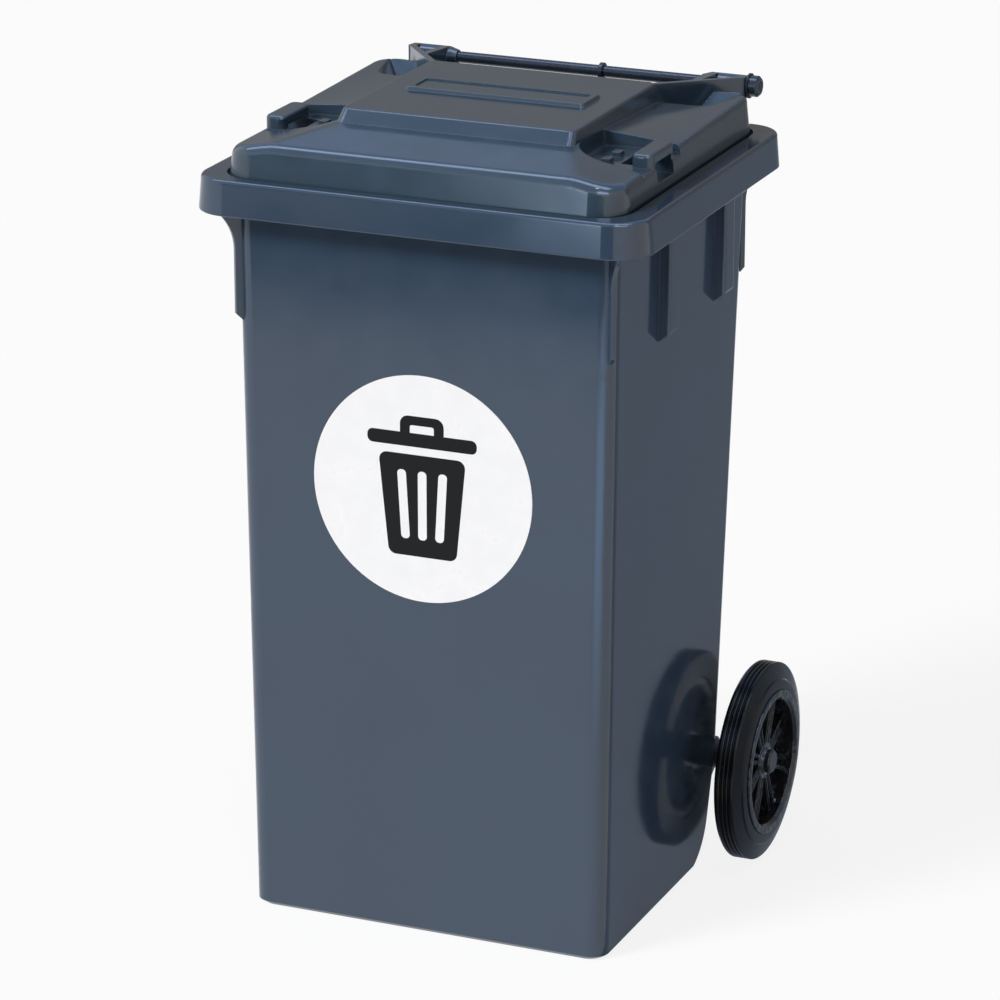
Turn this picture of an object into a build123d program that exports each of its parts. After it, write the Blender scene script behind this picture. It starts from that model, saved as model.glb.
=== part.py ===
from build123d import *
import os
from math import cos, hypot, radians, sin, tan

# Two-wheeled refuse bin with a hinged lid, in millimetres.
# X runs from left to right, Y from front to rear, Z up from the ground.

# Rim of the tub, measured at the lower edge of its skirt
RIM_WIDTH = 480.0
RIM_DEPTH = 425.0
RIM_TOP = 780.0
RIM_SKIRT = 36.0
RIM_CORNER = 40.0
RIM_DRAFT = 3.0
RIM_EDGE = 4.0
SKIRT_EDGE = 1.5
REBATE_DEPTH = 4.0
REBATE_GAP = 3.0

# Walls of the tub
WALL = 4.0
FLOOR = 6.5
SIDE_OVERHANG = 37.0
FRONT_OVERHANG = 31.0
REAR_OVERHANG = 18.0
SIDE_DRAFT = 8.0
FRONT_DRAFT = 2.0
REAR_DRAFT = 53.0
TUB_CORNER = 18.0
FOOT_EDGE = 4.0
FOOT_BAND = 26.0
FOOT_RECESS = 2.5
KICK_HEIGHT = 190.0
KICK_INSET = 51.0
KICK_RADIUS = 60.0

# Ribs on the sides and fins on the corners, both under the rim
RIB_DROP = 161.0
RIB_PROUD = 11.0
RIB_WIDTH = 27.0
RIB_EDGE = 3.0
RIB_SPACING = 155.0
RIB_SHIFT = 31.5
FIN_DROP = 150.0
FIN_PROUD = 6.5
REAR_FIN_PROUD = 3.0
FIN_THICKNESS = 5.0
FIN_FLARE = 20.0
FIN_FLARE_DROP = 42.0

# Wheels, axle and what keeps them in place
WHEEL_DIAMETER = 211.0
WHEEL_WIDTH = 30.0
WHEEL_CLEAR = 31.5
AXLE_INSET = 61.5
AXLE_DIAMETER = 16.0
AXLE_FIT = 0.05
RUNNING_FIT = 0.06
END_PLAY = 0.3
BRACKET_THICKNESS = 12.0
BRACKET_RADIUS = 18.0
BRACKET_INSET = 6.0
BRACKET_SPACING = 118.0
BRACKET_ROOT = 78.0
SPACER_DIAMETER = 30.0
BUSH_WALL = 3.0
BUSH_FLANGE = 2.0
BUSH_FLANGE_WIDTH = 4.0
HUB_SEAT_RADIUS = 72.0
HUB_FLANGE = 5.0
HUB_FLANGE_THICKNESS = 3.0
HUB_RIM_WALL = 5.5
HUB_BOSS_RADIUS = 20.0
HUB_BOSS_LENGTH = 18.0
HUB_INSET = 2.0
SPOKE_COUNT = 8
SPOKE_WIDTH = 9.0
SPOKE_DEPTH = 12.0
SPOKE_FIN_WIDTH = 3.5
SPOKE_FIN_DEPTH = 5.0
TYRE_FIT = 0.05
TYRE_SHOULDER = 3.0
TREAD_WIDTH = 18.0
GROOVE_COUNT = 3
GROOVE_WIDTH = 1.6
GROOVE_DEPTH = 2.0
SIDEWALL_STEP = 1.6
SIDEWALL_STEP_RADIUS = 89.0
WASHER_THICKNESS = 2.0
WASHER_RADIUS = 14.0
CAP_RADIUS = 13.0
CAP_LENGTH = 6.5
CAP_CROWN = 1.8
CAP_EDGE = 2.0

# Lid outline and levels, as heights above the top of the rim
LID_SIDE_INSET = 28.0
LID_FRONT_INSET = 19.0
LID_REAR_INSET = 17.0
LID_CORNER = 34.0
LID_DRAFT_ANGLE = 6.0
LID_WALL = 3.5
LID_SEAT_GAP = 0.3
LID_EDGE = 12.0
REAR_DECK_RISE = 20.0
GRIP_DECK_RISE = 26.0
GRIP_DECK_EDGE = 6.0
SHELF_FRONT_RISE = 34.0
SHELF_REAR_RISE = 42.0
SHELF_DEPTH = 89.0
SHELF_SIDE_DEPTH = 75.0
SHELF_CREASE_INSET = 45.0
SHELF_CREASE_RADIUS = 60.0
SHELF_FALL = 16.0
STEP_RUN = 12.0
PLATEAU_RISE = 54.5
PLATEAU_WIDTH = 250.0
PLATEAU_LENGTH = 220.0
PLATEAU_DRAFT_ANGLE = 10.0
PLATEAU_CORNER = 9.0
PLATEAU_EDGE = 3.0
FILL_RADIUS = 40.0

# Raised panel on the plateau
PANEL_WIDTH = 196.0
PANEL_DEPTH = 50.0
PANEL_BACK = 90.0
PANEL_HEIGHT = 3.5
PANEL_DRAFT = 2.0
PANEL_CORNER = 5.0
PANEL_BORDER = 8.0
PANEL_RECESS = 1.5

# Wings beside the plateau and the notch behind each
WING_START = 170.0
WING_INNER_FRONT_RISE = 41.0
WING_OUTER_FRONT_RISE = 33.0
WING_INNER_REAR_RISE = 32.0
WING_OUTER_REAR_RISE = 39.0
WING_EDGE = 6.0
NOTCH_REACH = 78.0
NOTCH_STRIP = 14.0
NOTCH_SHOULDER = 12.0
NOTCH_SHOULDER_REACH = 17.0
NOTCH_CORNER = 14.0
NOTCH_BAND = 10.0
NOTCH_SLOPE_ANGLE = 42.0

# Finger grips at the front corners of the lid
GRIP_START = 95.0
GRIP_LENGTH = 64.0
GRIP_WIDTH = 22.0
GRIP_RISE = 40.0
GRIP_THICKNESS = 10.0
GRIP_POST = 10.0
GRIP_CORNER = 8.0
GRIP_EDGE = 4.0
SLOT_WIDTH = 14.0
POCKET_RISE = 10.0
NUB_LENGTH = 11.0
NUB_WIDTH = 9.0
NUB_HEIGHT = 5.0

# Hinge behind the rim
HINGE_BACK = 14.0
HINGE_UP = 34.5
ROD_DIAMETER = 8.0
ROD_FIT = 0.05
HINGE_FIT = 0.06
HINGE_PLAY = 0.5
KNUCKLE_RADIUS = 10.5
KNUCKLE_INSET = 24.0
KNUCKLE_WIDTH = 41.0
CHEEK = 8.0
NECK_LENGTH = 10.0
NECK_RADIUS = 7.5
ARM_THICKNESS = 7.0
ARM_CLEAR = 2.5
LUG_THICKNESS = 8.0
LUG_ROOT_GAP = 1.0
NUT_DIAMETER = 18.0
NUT_THICKNESS = 2.5
NUT_RECESS = 5.0
NUT_CLEAR = 0.6
HINGE_WASHER_RADIUS = 13.0
HINGE_WASHER_THICKNESS = 2.0
HEAD_RADIUS = 11.0
HEAD_LENGTH = 10.5
HEAD_WALL = 3.0
HEAD_EDGE = 2.5
HEAD_DISH = 2.0
HEAD_DISH_RADIUS = 5.5
SLEEVE_WALL = 2.0
CLIP_X = 26.0
CLIP_WIDTH = 4.0
CLIP_WALL = 3.0

# Round sticker on the front wall
LABEL_DIAMETER = 236.0
LABEL_HEIGHT = 478.0
LABEL_THICKNESS = 0.3

# How far one shape runs into or past another, so that they join or cut cleanly
SINK = 2.0
PAST = 60.0

# Places worked out from the sizes; Y is zero midway along the overall depth
WHEEL_RADIUS = WHEEL_DIAMETER / 2
RIM_Y = (AXLE_INSET - WHEEL_RADIUS) / 2
RIM_FRONT = RIM_Y - RIM_DEPTH / 2
RIM_REAR = RIM_Y + RIM_DEPTH / 2
SEAT_Z = RIM_TOP - REBATE_DEPTH
AXLE_Y = RIM_REAR - AXLE_INSET
AXLE_Z = WHEEL_RADIUS
AXLE_RADIUS = AXLE_DIAMETER / 2
LID_HALF = RIM_WIDTH / 2 - LID_SIDE_INSET
LID_FRONT = RIM_FRONT + LID_FRONT_INSET
LID_REAR = RIM_REAR - LID_REAR_INSET
LID_BOTTOM = SEAT_Z + LID_SEAT_GAP
REAR_DECK = RIM_TOP + REAR_DECK_RISE
GRIP_DECK = RIM_TOP + GRIP_DECK_RISE
SHELF_FRONT_Z = RIM_TOP + SHELF_FRONT_RISE
SHELF_REAR_Z = RIM_TOP + SHELF_REAR_RISE
SHELF_REAR = LID_FRONT + SHELF_DEPTH
SHELF_SIDE_REAR = LID_FRONT + SHELF_SIDE_DEPTH
PLATEAU_Z = RIM_TOP + PLATEAU_RISE
PLATEAU_FRONT = SHELF_REAR + STEP_RUN
PLATEAU_REAR = PLATEAU_FRONT + PLATEAU_LENGTH
PLATEAU_HALF = PLATEAU_WIDTH / 2
WING_FRONT = LID_FRONT + WING_START
HINGE_Y = RIM_REAR + HINGE_BACK
HINGE_Z = RIM_TOP + HINGE_UP
ROD_RADIUS = ROD_DIAMETER / 2
KNUCKLE_OUT = LID_HALF - KNUCKLE_INSET
KNUCKLE_IN = KNUCKLE_OUT - KNUCKLE_WIDTH


def block(x_low, x_high, y_low, y_high, z_low, z_high):
    """A box given by its limits."""
    middle = Pos((x_low + x_high) / 2, (y_low + y_high) / 2, (z_low + z_high) / 2)
    return middle * Box(x_high - x_low, y_high - y_low, z_high - z_low)


def side_plate(outline, x_low, x_high):
    """A plate across X, from an outline drawn in Y and Z."""
    return extrude(Plane.YZ.offset(x_low) * outline, amount=x_high - x_low)


def plan_prism(outline, z_low, z_high):
    """An upright prism, from an outline drawn in X and Y."""
    return extrude(Pos(0, 0, z_low) * outline, amount=z_high - z_low)


def polygon(*points):
    """A flat face with straight edges."""
    return make_face(Polyline(*points, close=True))


def bar(x_low, x_high, y, z, radius):
    """A round bar along X."""
    return side_plate(Pos(y, z) * Circle(radius), x_low, x_high)


def sleeve(x_low, x_high, y, z, outer, inner):
    """A round tube along X."""
    return bar(x_low, x_high, y, z, outer) - bar(x_low, x_high, y, z, inner)


def turned(points, y, z):
    """A body of revolution about an X axis, from points of X and radius."""
    profile = Pos(0, y, z) * polygon(*points)
    return revolve(profile, axis=Axis((0, y, z), (1, 0, 0)))


def mirrored(shape):
    """The same shape on the other side of the bin."""
    return mirror(shape, about=Plane.YZ)


def tub_half(z):
    """Half the width of the tub's outside at a height."""
    return RIM_WIDTH / 2 - SIDE_OVERHANG - SIDE_DRAFT * (1 - z / RIM_TOP)


def tub_front(z):
    """Y of the outside of the front wall at a height."""
    return RIM_FRONT + FRONT_OVERHANG + FRONT_DRAFT * (1 - z / RIM_TOP)


def tub_rear(z):
    """Y of the outside of the rear wall at a height."""
    return RIM_REAR - REAR_OVERHANG - REAR_DRAFT * (1 - z / RIM_TOP)


def kick_y(z):
    """Y of the outside of the slanted lower rear wall at a height."""
    return tub_rear(KICK_HEIGHT) - KICK_INSET * (1 - z / KICK_HEIGHT)


def tub_section(inset, z):
    """Outline of the tub at a height, drawn in from its outside by the inset."""
    front = tub_front(z) + inset
    rear = tub_rear(z) - inset
    outline = RectangleRounded(2 * (tub_half(z) - inset), rear - front, TUB_CORNER)
    return Pos(0, (front + rear) / 2, z) * outline


def kick_side(inset, floor):
    """Side view of the tub's room: level floor, round heel and slanted lower rear wall."""
    length = hypot(KICK_INSET, KICK_HEIGHT)
    shift = inset * length / KICK_HEIGHT
    heel = (kick_y(floor) - shift, floor)
    top = 2 * RIM_TOP
    outline = polygon((2 * RIM_FRONT, floor), heel, (kick_y(top) - shift, top), (2 * RIM_FRONT, top))
    corner = outline.vertices().sort_by_distance((*heel, 0))[0]
    return fillet(corner, KICK_RADIUS - inset)


def tub_room(inset, floor, top):
    """The tub as a block: its outside with no inset, its inside with the wall as inset."""
    sections = [tub_section(inset + FOOT_EDGE, floor)]
    sections += [tub_section(inset, z) for z in (floor + FOOT_EDGE, top)]
    return loft(sections, ruled=True) & side_plate(kick_side(inset, floor), -RIM_WIDTH, RIM_WIDTH)


def rim_section(inset, z):
    """Outline of the rim at a height, which leans in on its way up."""
    lean = inset + RIM_DRAFT * (z - RIM_TOP + RIM_SKIRT) / RIM_SKIRT
    outline = RectangleRounded(RIM_WIDTH - 2 * lean, RIM_DEPTH - 2 * lean, RIM_CORNER - lean)
    return Pos(0, RIM_Y, z) * outline


def make_rim():
    """Flange and downturned skirt, with a rebate that the lid sits in."""
    low = RIM_TOP - RIM_SKIRT
    outside = loft([rim_section(0, low), rim_section(0, RIM_TOP)], ruled=True)
    outside = fillet(outside.edges().group_by(Axis.Z)[-1], RIM_EDGE)
    outside = fillet(outside.edges().group_by(Axis.Z)[0], SKIRT_EDGE)
    under = SEAT_Z - WALL
    channel = loft([rim_section(WALL, low - SINK), rim_section(WALL, under)], ruled=True)
    width = 2 * (LID_HALF + REBATE_GAP)
    depth = LID_REAR - LID_FRONT + 2 * REBATE_GAP
    rebate = RectangleRounded(width, depth, LID_CORNER + REBATE_GAP)
    rebate = Pos(0, (LID_FRONT + LID_REAR) / 2) * rebate
    return outside - channel - plan_prism(rebate, SEAT_Z, RIM_TOP + SINK)


def make_rib(y):
    """Upright rib on the right wall, with a foot that slopes in to the wall."""
    foot = RIM_TOP - RIB_DROP
    top = SEAT_Z - WALL / 2
    root = tub_half(foot) - SINK
    outer = tub_half(RIM_TOP - RIM_SKIRT) + RIB_PROUD
    outline = polygon((root, foot), (root, top), (outer, top), (outer, foot + RIB_PROUD))
    plane = Plane(origin=(0, y, 0), x_dir=(1, 0, 0), z_dir=(0, -1, 0))
    rib = extrude(plane * outline, amount=RIB_WIDTH / 2, both=True)
    face = rib.faces().sort_by(Axis.X)[-1]
    return fillet(face.edges(), RIB_EDGE)


def make_fin(front):
    """Upright fin on a right-hand corner, which flares out to the rim."""
    proud = FIN_PROUD if front else REAR_FIN_PROUD
    foot = RIM_TOP - FIN_DROP
    edge = RIM_TOP - RIM_SKIRT
    top = SEAT_Z - WALL / 2
    start = TUB_CORNER - SINK
    outer = TUB_CORNER + proud
    flare = outer + FIN_FLARE
    bend = edge - FIN_FLARE_DROP
    inside = Polyline((flare, edge), (flare, top), (start, top), (start, foot - SINK))
    inside += Polyline((start, foot - SINK), (outer, foot + proud), (outer, bend))
    cove = TangentArc((outer, bend), (flare, edge), tangent=(0, 1))
    outline = make_face(inside + cove)
    x = tub_half(edge) - TUB_CORNER
    if front:
        y, lean = tub_front(edge) + TUB_CORNER, -sin(radians(45))
    else:
        y, lean = tub_rear(edge) - TUB_CORNER, sin(radians(45))
    out = Vector(cos(radians(45)), lean, 0)
    plane = Plane(origin=(x, y, 0), x_dir=out, z_dir=out.cross(Vector(0, 0, 1)))
    return extrude(plane * outline, amount=FIN_THICKNESS / 2, both=True)


def lug_span():
    """X limits of the hinge lug on the right, between the cheeks of the lid's knuckle."""
    return KNUCKLE_IN + CHEEK + HINGE_PLAY, KNUCKLE_OUT - CHEEK - HINGE_PLAY


def make_lug():
    """Right-hand lug on the rear of the rim, with a boss for the hinge rod."""
    low, high = lug_span()
    root = SEAT_Z - SINK
    front = LID_REAR + REBATE_GAP + LUG_ROOT_GAP
    rear = RIM_REAR - RIM_DRAFT
    along = Vector(HINGE_Y - (front + rear) / 2, HINGE_Z - root, 0).normalized()
    across = Vector(along.Y, -along.X, 0) * KNUCKLE_RADIUS
    hinge = Vector(HINGE_Y, HINGE_Z, 0)
    outline = polygon((front, root), (rear, root), hinge + across, hinge - across)
    return side_plate(outline, low, low + LUG_THICKNESS) + bar(low, high, HINGE_Y, HINGE_Z, KNUCKLE_RADIUS)


def bracket_spans():
    """X limits of the axle brackets on the right."""
    outer = tub_half(AXLE_Z) - BRACKET_INSET
    return [(x - BRACKET_THICKNESS, x) for x in (outer, outer - BRACKET_SPACING)]


def make_bracket(x_low, x_high):
    """Upright bracket on the lower rear wall, round at the axle."""
    high = AXLE_Z + BRACKET_ROOT / 2
    low = AXLE_Z - BRACKET_ROOT / 2
    sunk = WALL / 2
    outline = polygon(
        (kick_y(low) - sunk, low),
        (AXLE_Y, AXLE_Z - BRACKET_RADIUS),
        (AXLE_Y, AXLE_Z + BRACKET_RADIUS),
        (kick_y(high) - sunk, high),
    )
    return side_plate(outline, x_low, x_high) + bar(x_low, x_high, AXLE_Y, AXLE_Z, BRACKET_RADIUS)


def make_tub():
    """Tub with its rim, ribs, fins, hinge lugs and axle brackets."""
    fittings = [make_rib(RIM_Y + RIB_SHIFT + step * RIB_SPACING / 2) for step in (-1, 1)]
    fittings += [make_fin(front) for front in (True, False)]
    fittings += [make_bracket(*span) for span in bracket_spans()]
    fittings += [make_lug()]
    tub = tub_room(0, 0, SEAT_Z) + make_rim()
    for fitting in fittings:
        tub = tub + fitting + mirrored(fitting)
    tub -= tub_room(WALL, FLOOR, SEAT_Z + SINK)
    flat = kick_y(0) - KICK_RADIUS - FOOT_BAND
    front = tub_front(0) + FOOT_BAND
    recess = RectangleRounded(2 * (tub_half(0) - FOOT_BAND), flat - front, TUB_CORNER)
    tub -= plan_prism(Pos(0, (front + flat) / 2) * recess, -SINK, FOOT_RECESS)
    tub -= bar(-RIM_WIDTH, RIM_WIDTH, AXLE_Y, AXLE_Z, AXLE_RADIUS + AXLE_FIT)
    return tub - bar(-RIM_WIDTH, RIM_WIDTH, HINGE_Y, HINGE_Z, ROD_RADIUS + ROD_FIT)


def lid_lean(z):
    """How far the lid's wall has leaned in at a height."""
    return (z - LID_BOTTOM) * tan(radians(LID_DRAFT_ANGLE))


def lid_section(inset, z):
    """Outline of the lid's outer wall at a height."""
    lean = inset + lid_lean(z)
    depth = LID_REAR - LID_FRONT - 2 * lean
    outline = RectangleRounded(2 * (LID_HALF - lean), depth, LID_CORNER - lean)
    return Pos(0, (LID_FRONT + LID_REAR) / 2, z) * outline


def lid_room(inset, top):
    """The room inside the lid's wall, up to a height; an inset one opens downwards."""
    low = LID_BOTTOM - SINK if inset else LID_BOTTOM
    return loft([lid_section(inset, low), lid_section(inset, top)], ruled=True)


def make_base(inset):
    """Low part of the lid, from the front shelf to the rear wall."""
    front = SHELF_SIDE_REAR - inset
    behind = block(-RIM_WIDTH, RIM_WIDTH, front, RIM_REAR, LID_BOTTOM - PAST, PLATEAU_Z)
    return lid_room(inset, REAR_DECK - inset) & behind


def shelf_outline(inset):
    """Plan of the front shelf, with round inner corners beside the plateau."""
    front = LID_FRONT - PAST
    side = LID_HALF + PAST
    x = PLATEAU_HALF + SINK + FILL_RADIUS
    y = SHELF_SIDE_REAR + FILL_RADIUS
    radius = FILL_RADIUS + inset
    near = radius * sin(radians(45))
    corners = [(0, y), (0, front), (side, front), (side, y - radius)]
    lines = Polyline((x - radius, y), *corners, (x, y - radius))
    arc = ThreePointArc((x, y - radius), (x - near, y - near), (x - radius, y))
    right = make_face(lines + arc)
    return right + mirrored(right)


def make_shelf(inset):
    """Front shelf over the lid's whole width: it rises to the rear and falls to the sides."""
    low = LID_BOTTOM - PAST
    side = LID_HALF + PAST
    climb = (SHELF_REAR_Z - SHELF_FRONT_Z) / SHELF_DEPTH
    start, end = LID_FRONT - PAST, SHELF_REAR + PAST
    start_z = SHELF_FRONT_Z - inset - climb * PAST
    end_z = SHELF_REAR_Z - inset + climb * PAST
    shelf = side_plate(polygon((start, low), (end, low), (end, end_z), (start, start_z)), -side, side)
    crease = Vector(LID_HALF - SHELF_CREASE_INSET, LID_FRONT, SHELF_FRONT_Z - inset)
    crease_end = Vector(PLATEAU_HALF, SHELF_REAR, SHELF_REAR_Z - inset)
    edge = Vector(LID_HALF, SHELF_REAR, SHELF_REAR_Z - inset - SHELF_FALL)
    normal = (edge - crease).cross(crease_end - crease)
    for way in (1, -1):
        facet = Plane((way * crease.X, crease.Y, crease.Z), z_dir=(way * normal.X, normal.Y, normal.Z))
        shelf = split(shelf, bisect_by=facet, keep=Keep.BOTTOM)
    top = shelf.edges().filter_by(lambda edge: abs(edge.tangent_at(0.5).Y) > 0.5)
    folds = top.filter_by(lambda edge: edge.center().Z > low and abs(edge.center().X) < LID_HALF)
    shelf = fillet(folds, SHELF_CREASE_RADIUS)
    shelf &= plan_prism(shelf_outline(inset), low, PLATEAU_Z)
    shelf &= lid_room(inset, PLATEAU_Z)
    level = shelf.edges().filter_by(lambda edge: abs(edge.tangent_at(0.5).Z) < 0.5)
    level = level.filter_by(lambda edge: edge.center().Z > REAR_DECK)
    level = level.filter_by(lambda edge: edge.center().Y < SHELF_SIDE_REAR - inset - SINK)
    near = LID_CORNER / 2 + inset
    sides = level.filter_by(lambda edge: abs(edge.center().X) > LID_HALF - near)
    middle = level.filter_by(lambda edge: abs(edge.center().X) <= LID_HALF - near)
    front = middle.filter_by(lambda edge: edge.center().Y < LID_FRONT + near)
    return fillet(sides + front, LID_EDGE - inset)


def make_plateau(inset):
    """Raised middle of the lid, with a sloping step at its front."""
    low = REAR_DECK - LID_WALL - SINK
    step = STEP_RUN / (PLATEAU_Z - SHELF_REAR_Z)
    sections = []
    for z in (low, PLATEAU_Z - inset):
        drop = PLATEAU_Z - z
        spread = drop * tan(radians(PLATEAU_DRAFT_ANGLE)) - inset
        front = PLATEAU_FRONT - drop * step + inset
        rear = PLATEAU_REAR + spread
        outline = RectangleRounded(2 * (PLATEAU_HALF + spread), rear - front, PLATEAU_CORNER)
        sections.append(Pos(0, (front + rear) / 2, z) * outline)
    plateau = loft(sections, ruled=True)
    if inset:
        return plateau
    return fillet(plateau.edges().group_by(Axis.Z)[-1], PLATEAU_EDGE)


def make_panel():
    """Raised panel on the plateau, with a border round its sunk middle."""
    foot = RectangleRounded(PANEL_WIDTH, PANEL_DEPTH, PANEL_CORNER)
    crown = RectangleRounded(PANEL_WIDTH - 2 * PANEL_DRAFT, PANEL_DEPTH - 2 * PANEL_DRAFT, PANEL_CORNER)
    middle = RectangleRounded(PANEL_WIDTH - 2 * PANEL_BORDER, PANEL_DEPTH - 2 * PANEL_BORDER, PANEL_CORNER)
    top = PLATEAU_Z + PANEL_HEIGHT
    panel = loft([Pos(0, 0, PLATEAU_Z - LID_WALL / 2) * foot, Pos(0, 0, top) * crown], ruled=True)
    panel -= plan_prism(middle, top - PANEL_RECESS, top + SINK)
    return Pos(0, PLATEAU_FRONT + PANEL_BACK + PANEL_DEPTH / 2) * panel


def make_wing(inset):
    """Right wing beside the plateau: its top twists a little from front to rear."""
    low = REAR_DECK - LID_WALL - SINK
    rear = LID_REAR + SINK
    levels = (
        (WING_FRONT + inset, WING_INNER_FRONT_RISE, WING_OUTER_FRONT_RISE),
        (rear, WING_INNER_REAR_RISE, WING_OUTER_REAR_RISE),
    )
    inner = PLATEAU_HALF - SINK
    sections = []
    for y, inner_rise, outer_rise in levels:
        inner_z = RIM_TOP + inner_rise - inset
        outer_z = RIM_TOP + outer_rise - inset
        face = polygon((inner, low), (LID_HALF, low), (LID_HALF, outer_z), (inner, inner_z))
        sections.append(Plane.XZ.offset(-y) * face)
    wing = loft(sections, ruled=True) & lid_room(inset, PLATEAU_Z)
    if inset:
        stop = LID_REAR - NOTCH_REACH - inset
        return wing & block(inner, LID_HALF, WING_FRONT, stop, low, PLATEAU_Z)
    x = LID_HALF - LID_CORNER
    outer = wing.edges().filter_by(lambda edge: edge.center().X > x and edge.center().Z > REAR_DECK + SINK)
    outer = outer.filter_by(lambda edge: abs(edge.tangent_at(0.5).Z) < 0.5)
    outer = outer.filter_by(lambda edge: edge.center().Y > WING_FRONT + SINK)
    return fillet(outer, WING_EDGE) - make_notch()


def arm_line():
    """Plan of the right hinge arm: where its slanted plate starts and ends."""
    start = Vector(PLATEAU_HALF - ARM_THICKNESS / 2, PLATEAU_REAR - SINK)
    return start, Vector(KNUCKLE_OUT - CHEEK / 2, HINGE_Y - KNUCKLE_RADIUS - ARM_CLEAR)


def notch_outline(z):
    """Plan of the notch behind the right wing at a height; a band closes it at the rear."""
    lean = (RIM_TOP + WING_OUTER_REAR_RISE - z) * tan(radians(NOTCH_SLOPE_ANGLE))
    front = LID_REAR - NOTCH_REACH + lean
    strip = LID_HALF - NOTCH_STRIP - lean
    band = LID_REAR - NOTCH_BAND - lean
    shoulder = LID_REAR - NOTCH_SHOULDER_REACH - lean
    turn = (strip - NOTCH_SHOULDER, front)
    start, end = arm_line()
    arm_x = start.X + (end.X - start.X) * (band - start.Y) / (end.Y - start.Y)
    inner = PLATEAU_HALF - PAST
    rear = LID_REAR + PAST
    right = [turn, (strip, shoulder), (strip, band), (arm_x, band), (arm_x, rear)]
    outline = polygon((inner, front), *right, (inner, rear))
    corner = outline.vertices().sort_by_distance((*turn, 0))[0]
    return Pos(0, 0, z) * fillet(corner, NOTCH_CORNER)


def make_notch():
    """Room behind the right wing that the hinge arm crosses, with sloping sides."""
    return loft([notch_outline(REAR_DECK), notch_outline(PLATEAU_Z)], ruled=True)


def grip_limits():
    """Y limits of the finger grip and X of its inner face."""
    front = LID_FRONT + GRIP_START
    inner = LID_HALF - lid_lean(RIM_TOP + GRIP_RISE) - GRIP_WIDTH
    return front, front + GRIP_LENGTH, inner


def make_grip_deck(inset):
    """Level deck round the right finger grip, between shelf and wing."""
    low = REAR_DECK - LID_WALL - SINK
    inner = PLATEAU_HALF - SINK + inset
    front = SHELF_SIDE_REAR - inset
    rear = WING_FRONT + SINK + inset
    deck = block(inner, LID_HALF, front, rear, low, GRIP_DECK - inset) & lid_room(inset, PLATEAU_Z)
    if inset:
        return deck
    crown = deck.faces().sort_by(Axis.Z)[-1]
    return fillet(crown.edges().sort_by(Axis.X)[-1], GRIP_DECK_EDGE)


def make_grip():
    """Bar of the right finger grip, on the lid's edge."""
    front, rear, inner = grip_limits()
    outline = RectangleRounded(GRIP_WIDTH, GRIP_LENGTH, GRIP_CORNER)
    outline = Pos(inner + GRIP_WIDTH / 2, (front + rear) / 2) * outline
    grip = plan_prism(outline, GRIP_DECK - LID_WALL, RIM_TOP + GRIP_RISE)
    return fillet(grip.edges().group_by(Axis.Z)[-1], GRIP_EDGE)


def make_pocket(inset):
    """Finger room under the right grip, open to the side; drawn out, the pan round it."""
    front, rear, inner = grip_limits()
    front += GRIP_POST - inset
    rear -= GRIP_POST - inset
    floor = RIM_TOP + POCKET_RISE - inset
    slot = block(inner - SLOT_WIDTH - inset, inner, front, rear, floor, PLATEAU_Z)
    below = RIM_TOP + GRIP_RISE - GRIP_THICKNESS
    return slot + block(inner - SINK, LID_HALF + SINK, front, rear, floor, below)


def make_nubs():
    """Two small blocks on the deck beside the right grip."""
    front, rear, inner = grip_limits()
    x = inner - SLOT_WIDTH - NUB_WIDTH
    top = GRIP_DECK + NUB_HEIGHT
    places = [front + GRIP_POST - NUB_LENGTH / 2, rear - GRIP_POST - 2 * NUB_LENGTH]
    low = GRIP_DECK - LID_WALL / 2
    nubs = [block(x - NUB_WIDTH, x, y, y + NUB_LENGTH, low, top) for y in places]
    return nubs[0] + nubs[1]


def make_arm():
    """Right hinge arm: a slanted plate from the plateau's corner and a forked knuckle."""
    low = REAR_DECK - SINK
    top = HINGE_Z + KNUCKLE_RADIUS
    start, end = arm_line()
    front = start.Y - PAST / 4
    side = polygon(
        (front, low),
        (LID_REAR - lid_lean(REAR_DECK) - SINK, low),
        (HINGE_Y, HINGE_Z - KNUCKLE_RADIUS),
        (HINGE_Y, top),
        (PLATEAU_REAR, PLATEAU_Z - PLATEAU_EDGE / 2),
        (front, PLATEAU_Z - PLATEAU_EDGE / 2),
    )
    side += Pos(HINGE_Y, HINGE_Z) * Circle(KNUCKLE_RADIUS)
    along = (end - start).normalized()
    across = Vector(along.Y, -along.X) * (ARM_THICKNESS / 2)
    slant = polygon(start - across, start + across, end + across, end - across)
    far = HINGE_Y + KNUCKLE_RADIUS + SINK
    meet = start.Y + (end.Y - start.Y) * (KNUCKLE_IN + CHEEK / 2 - start.X) / (end.X - start.X)
    plan = slant
    for x, y in ((KNUCKLE_IN, meet), (KNUCKLE_OUT - CHEEK, end.Y - SINK)):
        plan += polygon((x, y), (x + CHEEK, y), (x + CHEEK, far), (x, far))
    arm = side_plate(side, 0, LID_HALF) & plan_prism(plan, low, PLATEAU_Z)
    neck = Plane((KNUCKLE_IN - NECK_LENGTH, HINGE_Y, HINGE_Z), x_dir=(0, 1, 0), z_dir=(1, 0, 0))
    cone = Cone(NECK_RADIUS, KNUCKLE_RADIUS, NECK_LENGTH, align=(Align.CENTER, Align.CENTER, Align.MIN))
    return arm + neck * cone


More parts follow.
